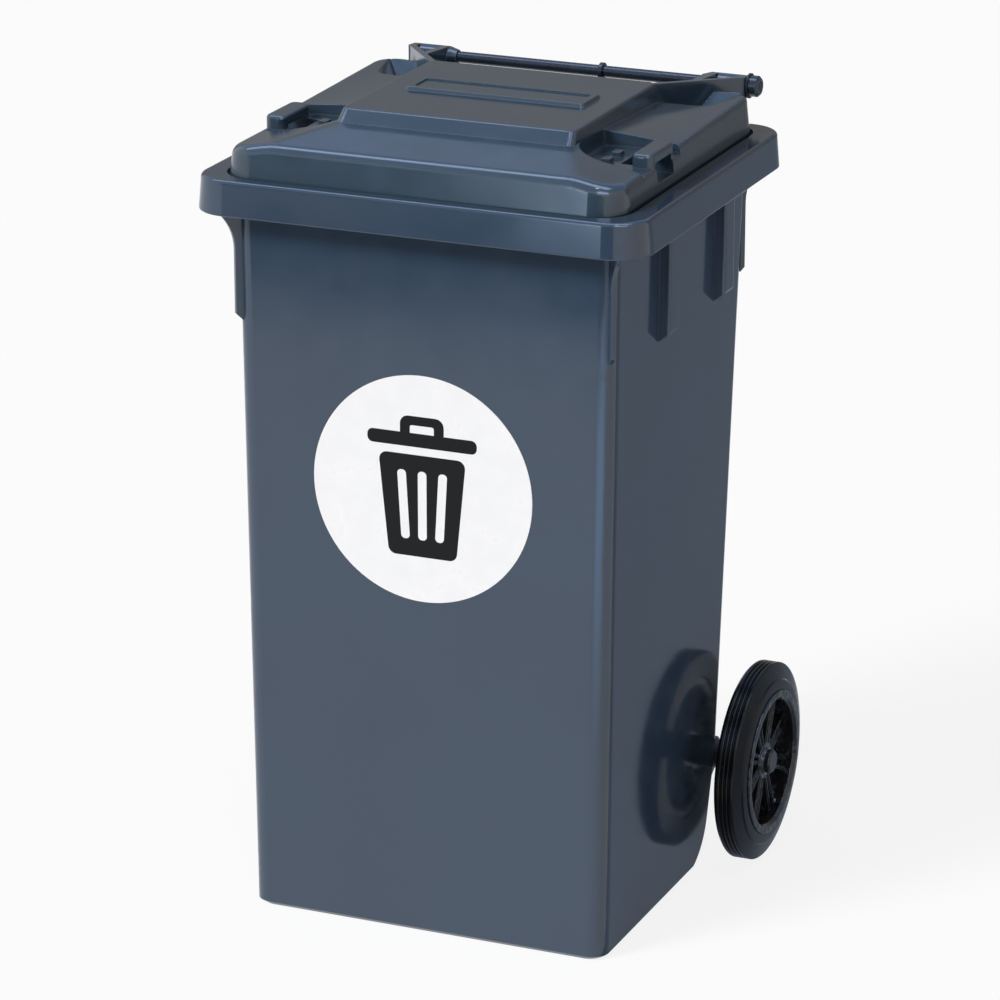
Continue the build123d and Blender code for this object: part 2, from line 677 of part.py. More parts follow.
def make_lid():
    """Lid as a shell of even wall, with its grips and hinge arms."""
    outside = make_base(0) + make_shelf(0) + make_plateau(0) + make_panel()
    inside = make_base(LID_WALL) + make_shelf(LID_WALL) + make_plateau(LID_WALL)
    for right in (make_wing(0), make_grip_deck(0), make_grip(), make_nubs()):
        outside = outside + right + mirrored(right)
    room = make_wing(LID_WALL) + make_grip_deck(LID_WALL)
    inside = inside + room + mirrored(room)
    pan = make_pocket(LID_WALL)
    inside = inside - pan - mirrored(pan)
    pocket = make_pocket(0)
    lid = outside - inside - pocket - mirrored(pocket)
    arm = make_arm()
    lid = lid + arm + mirrored(arm)
    lid -= bar(-KNUCKLE_OUT - SINK, KNUCKLE_OUT + SINK, HINGE_Y, HINGE_Z, ROD_RADIUS + HINGE_FIT)
    recess = NUT_DIAMETER / 2 + NUT_CLEAR
    return lid - bar(-KNUCKLE_OUT - SINK, -KNUCKLE_OUT + NUT_RECESS, HINGE_Y, HINGE_Z, recess)


def make_hinge_set():
    """Hinge rod with its nut, washer and head, and the sleeve and ring that it carries."""
    nut_x = -KNUCKLE_OUT + NUT_RECESS - END_PLAY - NUT_THICKNESS
    washer_x = KNUCKLE_OUT + END_PLAY
    head_x = washer_x + HINGE_WASHER_THICKNESS
    head_end = head_x + HEAD_LENGTH
    rod_end = head_end - HEAD_WALL - HEAD_DISH
    bore = ROD_RADIUS + ROD_FIT
    washer = sleeve(washer_x, head_x, HINGE_Y, HINGE_Z, HINGE_WASHER_RADIUS, bore)
    head = turned(
        [
            (head_x, bore),
            (head_x, HEAD_RADIUS),
            (head_end - HEAD_EDGE, HEAD_RADIUS),
            (head_end, HEAD_RADIUS - HEAD_EDGE),
            (head_end, HEAD_DISH_RADIUS),
            (head_end - HEAD_DISH, HEAD_DISH_RADIUS - HEAD_DISH),
            (head_end - HEAD_DISH, 0),
            (rod_end, 0),
            (rod_end, bore),
        ],
        HINGE_Y,
        HINGE_Z,
    )
    half = KNUCKLE_IN - NECK_LENGTH - HINGE_PLAY
    outer = bore + SLEEVE_WALL
    clip_x = CLIP_X - CLIP_WIDTH / 2
    clip = sleeve(clip_x, clip_x + CLIP_WIDTH, HINGE_Y, HINGE_Z, outer + CLIP_WALL, outer)
    return {
        "hinge_rod": bar(nut_x - NUT_THICKNESS / 2, rod_end - ROD_FIT, HINGE_Y, HINGE_Z, ROD_RADIUS),
        "hinge_push_nut": sleeve(nut_x, nut_x + NUT_THICKNESS, HINGE_Y, HINGE_Z, NUT_DIAMETER / 2, bore),
        "hinge_washer": washer,
        "hinge_rod_head": head,
        "grip_sleeve": sleeve(-half, half, HINGE_Y, HINGE_Z, outer, bore),
        "sleeve_clip_ring": clip,
    }


def wheel_x():
    """X of the inner face of the right wheel."""
    return tub_half(AXLE_Z) + WHEEL_CLEAR


def make_tyre():
    """Right tyre: grooved tread, square inner side and sloping, stepped outer side."""
    x = wheel_x()
    seat = HUB_SEAT_RADIUS + TYRE_FIT
    bead = HUB_SEAT_RADIUS + HUB_FLANGE + TYRE_FIT
    left = x + HUB_INSET + HUB_FLANGE_THICKNESS + TYRE_FIT
    right = x + WHEEL_WIDTH - HUB_FLANGE_THICKNESS - TYRE_FIT
    tread_end = x + TYRE_SHOULDER + TREAD_WIDTH
    slope_end = x + WHEEL_WIDTH - TYRE_SHOULDER / 2
    run = (SIDEWALL_STEP_RADIUS - bead) / (WHEEL_RADIUS - bead)
    step_x = slope_end + (tread_end - slope_end) * run
    points = [(left, bead), (left, seat), (right, seat), (right, bead), (slope_end, bead)]
    points += [(step_x + SIDEWALL_STEP, SIDEWALL_STEP_RADIUS - SIDEWALL_STEP)]
    points += [(step_x, SIDEWALL_STEP_RADIUS)]
    points += [(tread_end, WHEEL_RADIUS), (x + TYRE_SHOULDER, WHEEL_RADIUS)]
    points += [(x, WHEEL_RADIUS - TYRE_SHOULDER), (x, bead)]
    tyre = turned(points, AXLE_Y, AXLE_Z)
    pitch = TREAD_WIDTH / (GROOVE_COUNT + 1)
    for number in range(1, GROOVE_COUNT + 1):
        low = x + TYRE_SHOULDER + number * pitch - GROOVE_WIDTH / 2
        floor = WHEEL_RADIUS - GROOVE_DEPTH
        tyre -= sleeve(low, low + GROOVE_WIDTH, AXLE_Y, AXLE_Z, WHEEL_RADIUS + SINK, floor)
    return tyre


def make_hub():
    """Right hub: flanged rim, boss and ribbed spokes between them."""
    x = wheel_x() + HUB_INSET
    end = wheel_x() + WHEEL_WIDTH
    seat = HUB_SEAT_RADIUS
    flange = HUB_SEAT_RADIUS + HUB_FLANGE
    inner = HUB_SEAT_RADIUS - HUB_RIM_WALL
    thick = HUB_FLANGE_THICKNESS
    points = [(x, inner + thick), (x, flange), (x + thick, flange), (x + thick, seat)]
    points += [(end - thick, seat), (end - thick, flange), (end, flange), (end, inner + thick)]
    points += [(end - thick, inner), (x + thick, inner)]
    hub = turned(points, AXLE_Y, AXLE_Z)
    boss_end = x + HUB_BOSS_LENGTH
    bore = AXLE_RADIUS + RUNNING_FIT + BUSH_WALL
    hub += sleeve(x, boss_end, AXLE_Y, AXLE_Z, HUB_BOSS_RADIUS, bore)
    middle = (x + boss_end) / 2
    reach = HUB_SEAT_RADIUS - HUB_RIM_WALL / 2
    root = (HUB_BOSS_RADIUS + bore) / 2
    half = SPOKE_WIDTH / 2
    fin = SPOKE_FIN_WIDTH / 2
    ridge = middle + SPOKE_DEPTH / 2
    spoke = block(middle - SPOKE_DEPTH / 2, ridge, -half, half, root, reach)
    spoke += block(ridge - SINK, ridge + SPOKE_FIN_DEPTH, -fin, fin, HUB_BOSS_RADIUS - SINK, reach)
    for number in range(SPOKE_COUNT):
        turn = Rot(X=(number + 0.5) * 360 / SPOKE_COUNT)
        hub += Pos(0, AXLE_Y, AXLE_Z) * turn * spoke
    return hub


def make_wheel_set():
    """Right wheel and the pieces beside it on the axle."""
    running = AXLE_RADIUS + RUNNING_FIT
    fixed = AXLE_RADIUS + AXLE_FIT
    hub_x = wheel_x() + HUB_INSET
    flange_x = hub_x - BUSH_FLANGE
    boss_end = hub_x + HUB_BOSS_LENGTH
    bush = sleeve(hub_x, boss_end, AXLE_Y, AXLE_Z, running + BUSH_WALL, running)
    bush += sleeve(flange_x, hub_x, AXLE_Y, AXLE_Z, running + BUSH_WALL + BUSH_FLANGE_WIDTH, running)
    spacer_x = bracket_spans()[0][1]
    washer_x = boss_end + END_PLAY
    cap_x = washer_x + WASHER_THICKNESS
    cap_end = cap_x + CAP_LENGTH
    cap = turned(
        [
            (cap_x, fixed),
            (cap_x, CAP_RADIUS),
            (cap_end - CAP_EDGE, CAP_RADIUS),
            (cap_end, CAP_RADIUS - CAP_EDGE),
            (cap_end, 0),
            (cap_end - CAP_CROWN, 0),
            (cap_end - CAP_CROWN, fixed),
        ],
        AXLE_Y,
        AXLE_Z,
    )
    return {
        "tyre": make_tyre(),
        "wheel_hub": make_hub(),
        "hub_bush": bush,
        "spacer_sleeve": sleeve(spacer_x, flange_x - END_PLAY, AXLE_Y, AXLE_Z, SPACER_DIAMETER / 2, fixed),
        "axle_washer": sleeve(washer_x, cap_x, AXLE_Y, AXLE_Z, WASHER_RADIUS, fixed),
        "axle_cap": cap,
    }


def make_axle():
    """Axle from cap to cap."""
    inside = WASHER_THICKNESS + CAP_LENGTH - CAP_CROWN - AXLE_FIT
    half = wheel_x() + HUB_INSET + HUB_BOSS_LENGTH + END_PLAY + inside
    return bar(-half, half, AXLE_Y, AXLE_Z, AXLE_RADIUS)


def make_label():
    """Round sticker that lies on the front wall."""
    slope = Vector(0, -RIM_TOP, -FRONT_DRAFT).normalized()
    place = Plane((0, tub_front(LABEL_HEIGHT), LABEL_HEIGHT), x_dir=(1, 0, 0), z_dir=slope)
    return extrude(place * Circle(LABEL_DIAMETER / 2), amount=LABEL_THICKNESS)


def main():
    """Make every piece and write each to its own file."""
    nodes = {"tub": make_tub(), "lid": make_lid(), "axle": make_axle(), "label_disc": make_label()}
    nodes.update(make_hinge_set())
    for name, piece in make_wheel_set().items():
        nodes[name + "_right"] = piece
        nodes[name + "_left"] = mirrored(piece)
    os.makedirs("parts", exist_ok=True)
    for name, piece in nodes.items():
        export_step(piece, f"parts/{name}.step")


main()
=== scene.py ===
import math
from collections import namedtuple

import bmesh
import bpy
from bpy.props import FloatProperty, FloatVectorProperty, IntProperty, PointerProperty
from mathutils import Matrix, Vector


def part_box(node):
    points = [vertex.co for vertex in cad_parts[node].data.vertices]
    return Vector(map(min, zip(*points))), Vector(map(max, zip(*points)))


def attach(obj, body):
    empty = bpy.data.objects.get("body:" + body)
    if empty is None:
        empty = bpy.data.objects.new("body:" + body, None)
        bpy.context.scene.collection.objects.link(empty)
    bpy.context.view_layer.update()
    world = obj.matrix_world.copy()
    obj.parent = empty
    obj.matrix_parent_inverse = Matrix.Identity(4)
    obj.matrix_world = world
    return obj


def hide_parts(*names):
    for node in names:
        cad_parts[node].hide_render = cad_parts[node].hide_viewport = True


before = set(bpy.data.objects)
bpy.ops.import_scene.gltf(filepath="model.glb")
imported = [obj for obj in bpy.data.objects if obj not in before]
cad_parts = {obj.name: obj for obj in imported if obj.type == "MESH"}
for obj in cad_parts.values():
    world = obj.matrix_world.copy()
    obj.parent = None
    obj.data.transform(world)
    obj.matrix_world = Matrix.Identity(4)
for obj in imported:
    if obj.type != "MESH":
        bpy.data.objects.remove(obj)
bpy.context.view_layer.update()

bl_info = {
    "name": "Wheeled Bin",
    "version": (1, 0, 0),
    "blender": (4, 5, 0),
    "location": "3D View > Sidebar > Wheeled Bin",
    "description": "Finishes a two-wheeled refuse bin and sets it in a plain studio",
    "category": "Object",
}

# Way along X of each side of the bin
SIDES = {"left": -1, "right": 1}

# Numbers of a Mix node's two inputs and of its result
MIX_SOCKETS = {"RGBA": (6, 7, 2), "FLOAT": (2, 3, 0)}

# Corners of the six faces of a bar
BAR_FACES = (
    (0, 1, 2, 3),
    (7, 6, 5, 4),
    (0, 4, 5, 1),
    (1, 5, 6, 2),
    (2, 6, 7, 3),
    (3, 7, 4, 0),
)

# Lengths too small to matter, in metres
MERGE_DISTANCE = 1e-6
LEAST_CUT = 1e-7

# Seat of a tyre on its hub, in metres
HUB_INSET = 0.002
FLANGE_THICKNESS = 0.003
FLANGE_HEIGHT = 0.005
SEAT_CLEARANCE = 0.00005

STICKER_THICKNESS = 0.0003

# Room round the bin, in metres
SET_HALF = 6.0
SET_FRONT = -8.2
SET_REAR = 4.2
SET_TOP = 5.5
FRONT_CARD_TOP = 3.0
REAR_CARD_TOP = 2.9
STRIP_HEIGHT = 5.4
CARD_LIFT = 0.001
FLOOR_RADIUS = 16
FLOOR_STEPS = 96

# Camera and lamps
SENSOR_WIDTH = 36
KEY_PLACE = (-2.4, -3.4, 3.2)
KEY_AIM = (0, 0, 0)
EDGE_PLACE = (0.9, -1.6, 5.0)
EDGE_AIM = (0, 0, 0.45)
EDGE_SIZE = 0.5

# Strength of the background where it is seen directly
BACKDROP_WHITE = 0.965

WheelPlace = namedtuple("WheelPlace", "way inner outer y z radius")
Card = namedtuple("Card", "colour corners glow reach", defaults=(1.0, None))


# Sizes and colours that a user may change


class MouldingFinish(bpy.types.PropertyGroup):
    """Colours and gloss of the moulded plastic."""

    tub_colour: FloatVectorProperty(
        name="Tub colour",
        description="Slate blue of the tub",
        subtype="COLOR",
        default=(0.029, 0.051, 0.086),
    )
    lid_colour: FloatVectorProperty(
        name="Lid colour",
        description="Slate blue of the lid",
        subtype="COLOR",
        default=(0.03, 0.053, 0.08),
    )
    grip_colour: FloatVectorProperty(
        name="Pull rod colour",
        description="Dark blue of the sleeve on the rod",
        subtype="COLOR",
        default=(0.012, 0.018, 0.03),
    )
    tub_roughness: FloatProperty(
        name="Tub roughness",
        description="Low for a clear reflection",
        subtype="FACTOR",
        default=0.1,
        min=0,
        max=1,
    )
    lid_roughness: FloatProperty(
        name="Lid roughness",
        description="Higher for a satin top",
        subtype="FACTOR",
        default=0.15,
        min=0,
        max=1,
    )
    edge_radius: FloatProperty(
        name="Edge radius",
        description="Rounding of the small moulded edges",
        unit="LENGTH",
        default=0.0012,
        min=0,
    )


class WheelBuild(bpy.types.PropertyGroup):
    """Colours and sizes of the tyres and hubs."""

    rubber_colour: FloatVectorProperty(
        name="Rubber colour",
        description="Black of the tyres",
        subtype="COLOR",
        default=(0.004, 0.004, 0.005),
    )
    hub_colour: FloatVectorProperty(
        name="Hub colour",
        description="Black of the hubs",
        subtype="COLOR",
        default=(0.012, 0.012, 0.014),
    )
    tread_ribs: IntProperty(
        name="Tread ribs", description="Round ribs on the tread", default=4, min=2, max=8
    )
    tread_width: FloatProperty(
        name="Tread width",
        description="Width that the ribs take",
        unit="LENGTH",
        default=0.018,
        min=0.005,
    )
    shoulder: FloatProperty(
        name="Shoulder",
        description="Rounding beside the tread",
        unit="LENGTH",
        default=0.003,
        min=0.0005,
    )
    groove_depth: FloatProperty(
        name="Groove depth",
        description="Depth between two ribs",
        unit="LENGTH",
        default=0.002,
        min=0.0002,
    )
    bead_radius: FloatProperty(
        name="Bead radius",
        description="Where the rubber meets the hub's flange",
        unit="LENGTH",
        default=0.07705,
    )
    step_radius: FloatProperty(
        name="Step radius",
        description="Where the outer side steps in",
        unit="LENGTH",
        default=0.089,
    )
    step: FloatProperty(
        name="Step", description="Depth of that step", unit="LENGTH", default=0.0016
    )
    seat_radius: FloatProperty(
        name="Seat radius",
        description="Where the rubber sits on the hub",
        unit="LENGTH",
        default=0.072,
    )
    rim_wall: FloatProperty(
        name="Rim wall", description="Wall of the hub's rim", unit="LENGTH", default=0.0055
    )
    boss_radius: FloatProperty(
        name="Boss radius", description="Outside of the hub's boss", unit="LENGTH", default=0.02
    )
    boss_length: FloatProperty(
        name="Boss length", description="Length of the boss", unit="LENGTH", default=0.018
    )
    bore_radius: FloatProperty(
        name="Bore radius", description="Seat of the bush", unit="LENGTH", default=0.01106
    )
    spokes: IntProperty(
        name="Spokes", description="Pairs of ribs in a hub", default=8, min=3, max=16
    )
    rib_width: FloatProperty(
        name="Rib width", description="Thickness of one spoke rib", unit="LENGTH", default=0.0046
    )
    ring_steps: IntProperty(
        name="Ring steps", description="Steps round a ring", default=144, min=24, max=360
    )


class StickerDesign(bpy.types.PropertyGroup):
    """Round sticker and its sign."""

    paper_colour: FloatVectorProperty(
        name="Paper colour",
        description="White of the sticker",
        subtype="COLOR",
        default=(0.86, 0.86, 0.87),
    )
    ink_colour: FloatVectorProperty(
        name="Ink colour",
        description="Black of the sign",
        subtype="COLOR",
        default=(0.012, 0.012, 0.013),
    )
    sign_share: FloatProperty(
        name="Sign share",
        description="Size of the sign on the sticker",
        subtype="FACTOR",
        default=1.0,
        min=0.2,
        max=1.2,
    )
    ink_thickness: FloatProperty(
        name="Ink thickness",
        description="How far the sign stands off",
        unit="LENGTH",
        default=0.00008,
    )


class StudioSetup(bpy.types.PropertyGroup):
    """Camera, floor, light and what the bin mirrors."""

    eye: FloatVectorProperty(
        name="Eye",
        description="Place of the camera",
        subtype="TRANSLATION",
        unit="LENGTH",
        default=(1.7845, -4.2015, 1.9575),
    )
    target: FloatVectorProperty(
        name="Target",
        description="Where it looks",
        subtype="TRANSLATION",
        unit="LENGTH",
        default=(0.00818, -0.0255, 0.41294),
    )
    lens: FloatProperty(
        name="Lens",
        description="Focal length for a 36 mm sensor, in millimetres",
        default=168.16,
        min=10,
    )
    floor_colour: FloatVectorProperty(
        name="Floor colour",
        description="Pale floor",
        subtype="COLOR",
        default=(0.93, 0.93, 0.93),
    )
    floor_white: FloatProperty(
        name="Floor white",
        description="How far the floor is lifted to white as seen",
        subtype="FACTOR",
        default=0.86,
        min=0,
        max=1,
    )
    sky: FloatProperty(name="Sky", description="Strength of the even light", default=0.22, min=0)
    key: FloatProperty(
        name="Key light",
        description="Soft light from the front left, in watts per square metre",
        default=2.9,
        min=0,
    )
    key_angle: FloatProperty(
        name="Key softness",
        description="Width of the key light",
        subtype="ANGLE",
        default=0.35,
        min=0,
    )
    spark: FloatProperty(
        name="Edge light",
        description="Small light for the edges",
        unit="POWER",
        default=15.0,
        min=0,
    )
    side_grey: FloatVectorProperty(
        name="Side card",
        description="What the right side mirrors",
        subtype="COLOR",
        default=(0.27, 0.31, 0.38),
    )
    front_grey: FloatVectorProperty(
        name="Front card",
        description="What the rim's front mirrors",
        subtype="COLOR",
        default=(0.08, 0.1, 0.12),
    )
    rear_grey: FloatVectorProperty(
        name="Rear card",
        description="What the lid's raised part mirrors",
        subtype="COLOR",
        default=(0.29, 0.28, 0.28),
    )
    top_blue: FloatVectorProperty(
        name="Top cards",
        description="What the lid's shelf and step mirror",
        subtype="COLOR",
        default=(0.46, 0.62, 1.0),
    )
    strip_blue: FloatVectorProperty(
        name="Strip card",
        description="Thin highlight on the upper edges",
        subtype="COLOR",
        default=(0.6, 0.75, 1.0),
    )
    corner_blue: FloatVectorProperty(
        name="Corner card",
        description="Highlight down the front right corner",
        subtype="COLOR",
        default=(0.5, 0.7, 1.0),
    )


# Node helpers


def add_node(tree, kind, inputs=None, **settings):
    """A new node with its settings and its input values."""
    made = tree.nodes.new(kind)
    for name, value in settings.items():
        setattr(made, name, value)
    for name, value in (inputs or {}).items():
        made.inputs[name].default_value = value
    return made


def put(tree, wanted, socket):
    """Gives an input a fixed value, or links it to another node's output."""
    if isinstance(wanted, bpy.types.NodeSocket):
        tree.links.new(wanted, socket)
    else:
        socket.default_value = wanted


def calculate(tree, operation, first, second):
    """The result of a Math node; each of the two is fixed or a socket."""
    made = add_node(tree, "ShaderNodeMath", operation=operation)
    put(tree, first, made.inputs[0])
    put(tree, second, made.inputs[1])
    return made.outputs["Value"]


def noise(tree, where, scale, detail=2.0, stretch=(1, 1, 1)):
    """Noise over the object's own coordinates."""
    mapping = add_node(tree, "ShaderNodeMapping", {"Scale": stretch})
    made = add_node(tree, "ShaderNodeTexNoise", {"Scale": scale, "Detail": detail})
    tree.links.new(where, mapping.inputs["Vector"])
    tree.links.new(mapping.outputs["Vector"], made.inputs["Vector"])
    return made.outputs["Fac"]


def spread(tree, value, low, high, out_low=0.0, out_high=1.0):
    """A value mapped from one range to another."""
    limits = {"From Min": low, "From Max": high, "To Min": out_low, "To Max": out_high}
    made = add_node(tree, "ShaderNodeMapRange", limits)
    tree.links.new(value, made.inputs["Value"])
    return made.outputs["Result"]


def blend(tree, share, first, second, kind="RGBA"):
    """A colour or a value between two, by a share; each of the two is fixed or a socket."""
    made = add_node(tree, "ShaderNodeMix", data_type=kind)
    low, high, result = MIX_SOCKETS[kind]
    tree.links.new(share, made.inputs[0])
    for number, wanted in ((low, first), (high, second)):
        if kind == "RGBA" and not isinstance(wanted, bpy.types.NodeSocket):
            wanted = (*wanted, 1)
        put(tree, wanted, made.inputs[number])
    return made.outputs[result]


def mix_shaders(tree, share, first, second):
    """Two shaders mixed by a share."""
    mix = add_node(tree, "ShaderNodeMixShader")
    tree.links.new(share, mix.inputs["Fac"])
    tree.links.new(first, mix.inputs[1])
    tree.links.new(second, mix.inputs[2])
    return mix.outputs["Shader"]


def openness(tree, reach):
    """Nought deep in a gap or corner and one in the open."""
    deep, clear = 0.3, 0.8
    made = add_node(
        tree, "ShaderNodeAmbientOcclusion", {"Distance": reach}, samples=6, only_local=True
    )
    return spread(tree, made.outputs["AO"], deep, clear)


def rounded_edges(tree, radius):
    """A normal that rounds the sharp edges."""
    return add_node(tree, "ShaderNodeBevel", {"Radius": radius}, samples=4).outputs["Normal"]


def edge_share(tree, rounded_normal):
    """One on a sharp edge and nought on a face."""
    flat, sharp = 0.99, 0.85
    face = add_node(tree, "ShaderNodeNewGeometry").outputs["True Normal"]
    made = add_node(tree, "ShaderNodeVectorMath", operation="DOT_PRODUCT")
    tree.links.new(rounded_normal, made.inputs[0])
    tree.links.new(face, made.inputs[1])
    return spread(tree, made.outputs["Value"], flat, sharp)


def shade(colour, share):
    """A colour made lighter or darker."""
    return tuple(part * share for part in colour)


def bump(tree, height, distance, under=None):
    """A normal that follows a height, in metres."""
    made = add_node(tree, "ShaderNodeBump", {"Distance": distance, "Strength": 1.0})
    tree.links.new(height, made.inputs["Height"])
    if under:
        tree.links.new(under, made.inputs["Normal"])
    return made.outputs["Normal"]


def seen_directly(tree):
    """One for what is seen, in a mirror or through glass too, and nought for light."""
    path = add_node(tree, "ShaderNodeLightPath").outputs
    mirror = calculate(tree, "MAXIMUM", path["Is Glossy Ray"], path["Is Transmission Ray"])
    return calculate(tree, "MAXIMUM", path["Is Camera Ray"], mirror)


def start_material(name, colour, roughness):
    """A material with its shader and the object's coordinates."""
    material = bpy.data.materials.new(name)
    material.use_nodes = True
    material.diffuse_color = (*colour, 1)
    tree = material.node_tree
    shader = tree.nodes["Principled BSDF"]
    shader.inputs["Base Color"].default_value = (*colour, 1)
    shader.inputs["Roughness"].default_value = roughness
    where = add_node(tree, "ShaderNodeTexCoord").outputs["Object"]
    return material, tree, shader, where


def dress(tree, shader, colour, roughness, normal):
    """Links a shader's colour, roughness and normal."""
    for name, value in (("Base Color", colour), ("Roughness", roughness), ("Normal", normal)):
        tree.links.new(value, shader.inputs[name])


# Finishes


def moulded_plastic(name, colour, roughness, edge_radius):
    """Glossy moulded plastic, clouded and uneven, with painted shade in rough corners and painted
    edge highlights.
    """
    plastic_ior = 1.58
    corner_reach, painted_corner_shade, corner_roughness = 0.014, 0.2, 0.9
    cloud_dark, cloud_pale, painted_edge_highlight = 0.93, 1.07, 2.4
    smooth, rough = roughness * 0.85, roughness * 1.4
    sway_height, skin_height = 0.0012, 0.000006
    material, tree, shader, where = start_material(name, colour, roughness)
    shader.inputs["IOR"].default_value = plastic_ior
    edge = rounded_edges(tree, edge_radius)
    open_share = openness(tree, corner_reach)
    cloud = spread(tree, noise(tree, where, scale=5.0, detail=4.0), low=0.3, high=0.7)
    clouded = blend(tree, cloud, shade(colour, cloud_dark), shade(colour, cloud_pale))
    # painted shade: gaps and corners, where shade falls, are darkened to a fifth of the colour
    corner_shaded = blend(tree, open_share, shade(colour, painted_corner_shade), clouded)
    # painted highlight: sharp edges in the open get a much lighter colour
    edge_highlight_share = calculate(tree, "MULTIPLY", edge_share(tree, edge), open_share)
    edge_highlighted = blend(tree, edge_highlight_share, corner_shaded, shade(colour, painted_edge_highlight))
    gloss = noise(tree, where, scale=30.0, detail=6.0)
    rubbed = spread(tree, gloss, 0.35, 0.75, smooth, rough)
    matted = blend(tree, open_share, corner_roughness, rubbed, "FLOAT")
    sway = bump(tree, noise(tree, where, scale=6.0, detail=1.0), sway_height, edge)
    skin = bump(tree, noise(tree, where, scale=420.0), skin_height, sway)
    dress(tree, shader, edge_highlighted, matted, skin)
    return material


def tyre_rubber(colour):
    """Black rubber with a fine skin and a little dust."""
    roughness, gloss, dust_pale = 0.26, 0.22, 1.7
    clean_roughness, dusty_roughness = 0.2, 0.32
    skin_height = 0.00002
    material, tree, shader, where = start_material("tyre_rubber", colour, roughness)
    shader.inputs["Specular IOR Level"].default_value = gloss
    dust = spread(tree, noise(tree, where, scale=60.0, detail=5.0), low=0.45, high=0.8)
    dusted = blend(tree, dust, colour, shade(colour, dust_pale))
    rubbed = spread(tree, dust, 0, 1, clean_roughness, dusty_roughness)
    skin = bump(tree, noise(tree, where, scale=700.0, detail=3.0), skin_height)
    dress(tree, shader, dusted, rubbed, skin)
    return material


def dark_plastic(name, colour, roughness, sway=0.0):
    """Plain dark plastic with uneven gloss, soft edges and faces that may sway."""
    cloud_dark, cloud_pale = 0.85, 1.2
    smooth, rough = roughness * 0.8, roughness * 1.5
    edge_radius, skin_height = 0.0005, 0.000006
    material, tree, shader, where = start_material(name, colour, roughness)
    cloud = spread(tree, noise(tree, where, scale=25.0, detail=4.0), low=0.3, high=0.7)
    clouded = blend(tree, cloud, shade(colour, cloud_dark), shade(colour, cloud_pale))
    gloss = noise(tree, where, scale=90.0, detail=5.0)
    rubbed = spread(tree, gloss, 0.35, 0.75, smooth, rough)
    edge = rounded_edges(tree, edge_radius)
    swayed = bump(tree, noise(tree, where, scale=90.0, detail=1.0), sway, edge)
    skin = bump(tree, noise(tree, where, scale=600.0), skin_height, swayed)
    dress(tree, shader, clouded, rubbed, skin)
    return material


def turned_steel():
    """Zinc-plated steel with fine marks round the bar."""
    colour, roughness = (0.52, 0.53, 0.54), 0.3
    mark_dark, mark_pale, mark_height = 0.8, 1.15, 0.00001
    mark_stretch = (90, 1, 1)
    smooth, rough = 0.24, 0.42
    material, tree, shader, where = start_material("turned_steel", colour, roughness)
    shader.inputs["Metallic"].default_value = 1.0
    marks = noise(tree, where, scale=14.0, detail=4.0, stretch=mark_stretch)
    marked = blend(tree, marks, shade(colour, mark_dark), shade(colour, mark_pale))
    rubbed = spread(tree, marks, 0.3, 0.7, smooth, rough)
    dress(tree, shader, marked, rubbed, bump(tree, marks, mark_height))
    return material


def sticker_vinyl(name, colour, roughness, gloss=0.5):
    """Smooth printed vinyl that lies a little unevenly."""
    soft_dark, sway_height = 0.96, 0.00015
    smooth, rough = roughness * 0.85, roughness * 1.3
    material, tree, shader, where = start_material(name, colour, roughness)
    shader.inputs["Specular IOR Level"].default_value = gloss
    soft = spread(tree, noise(tree, where, scale=40.0, detail=4.0), low=0.3, high=0.75)
    softened = blend(tree, soft, colour, shade(colour, soft_dark))
    rubbed = spread(tree, soft, 0, 1, smooth, rough)
    sway = bump(tree, noise(tree, where, scale=18.0), sway_height)
    dress(tree, shader, softened, rubbed, sway)
    return material


# Shape helpers


def add_object(name, data):
    """A new object in the scene."""
    made = bpy.data.objects.new(name, data)
    bpy.context.scene.collection.objects.link(made)
    return made


def mesh_from(work, name):
    """A new mesh from a bmesh, which is freed."""
    mesh = bpy.data.meshes.new(name)
    work.to_mesh(mesh)
    work.free()
    return mesh


def rounded(corners, radius, steps=5):
    """A closed outline with its corners rounded; each corner may carry its own radius."""
    outline = []
    count = len(corners)
    for number, corner in enumerate(corners):
        here = Vector(corner[:2])
        before = Vector(corners[number - 1][:2]) - here
        after = Vector(corners[(number + 1) % count][:2]) - here
        wanted = corner[2] if len(corner) > 2 else radius
        half = before.angle(after) / 2
        cut = min(wanted / math.tan(half), before.length / 2, after.length / 2)
        if cut < LEAST_CUT:
            outline.append(here)
            continue
        size = cut * math.tan(half)
        inwards = (before.normalized() + after.normalized()).normalized()
        middle = here + inwards * (size / math.sin(half))
        start = here + before.normalized() * cut - middle
        sweep = start.angle_signed(here + after.normalized() * cut - middle)
        for step in range(steps + 1):
            outline.append(middle + Matrix.Rotation(-sweep * step / steps, 2) @ start)
    return outline


def flat_curve(name, outlines):
    """A flat curve with one closed line for each outline."""
    curve = bpy.data.curves.new(name, "CURVE")
    curve.dimensions = "2D"
    for outline in outlines:
        spline = curve.splines.new("POLY")
        spline.points.add(len(outline) - 1)
        for point, place in zip(spline.points, outline):
            point.co = (place[0], place[1], 0, 1)
        spline.use_cyclic_u = True
    return add_object(name, curve)


def plain_mesh(maker, name):
    """The maker's finished shape as a plain mesh object; the maker is removed."""
    graph = bpy.context.evaluated_depsgraph_get()
    mesh = bpy.data.meshes.new_from_object(maker.evaluated_get(graph))
    mesh.name = name
    bpy.data.objects.remove(maker)
    return add_object(name, mesh)


def mend_faces(piece, angle=40):
    """Merged points, faces outwards and smooth shading up to an angle in degrees."""
    work = bmesh.new()
    work.from_mesh(piece.data)
    bmesh.ops.remove_doubles(work, verts=work.verts, dist=MERGE_DISTANCE)
    bmesh.ops.recalc_face_normals(work, faces=work.faces)
    for face in work.faces:
        face.smooth = True
    work.to_mesh(piece.data)
    work.free()
    piece.data.set_sharp_from_angle(angle=math.radians(angle))


def paint(node, material):
    """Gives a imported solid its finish."""
    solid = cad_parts[node]
    solid.data.materials.clear()
    solid.data.materials.append(material)


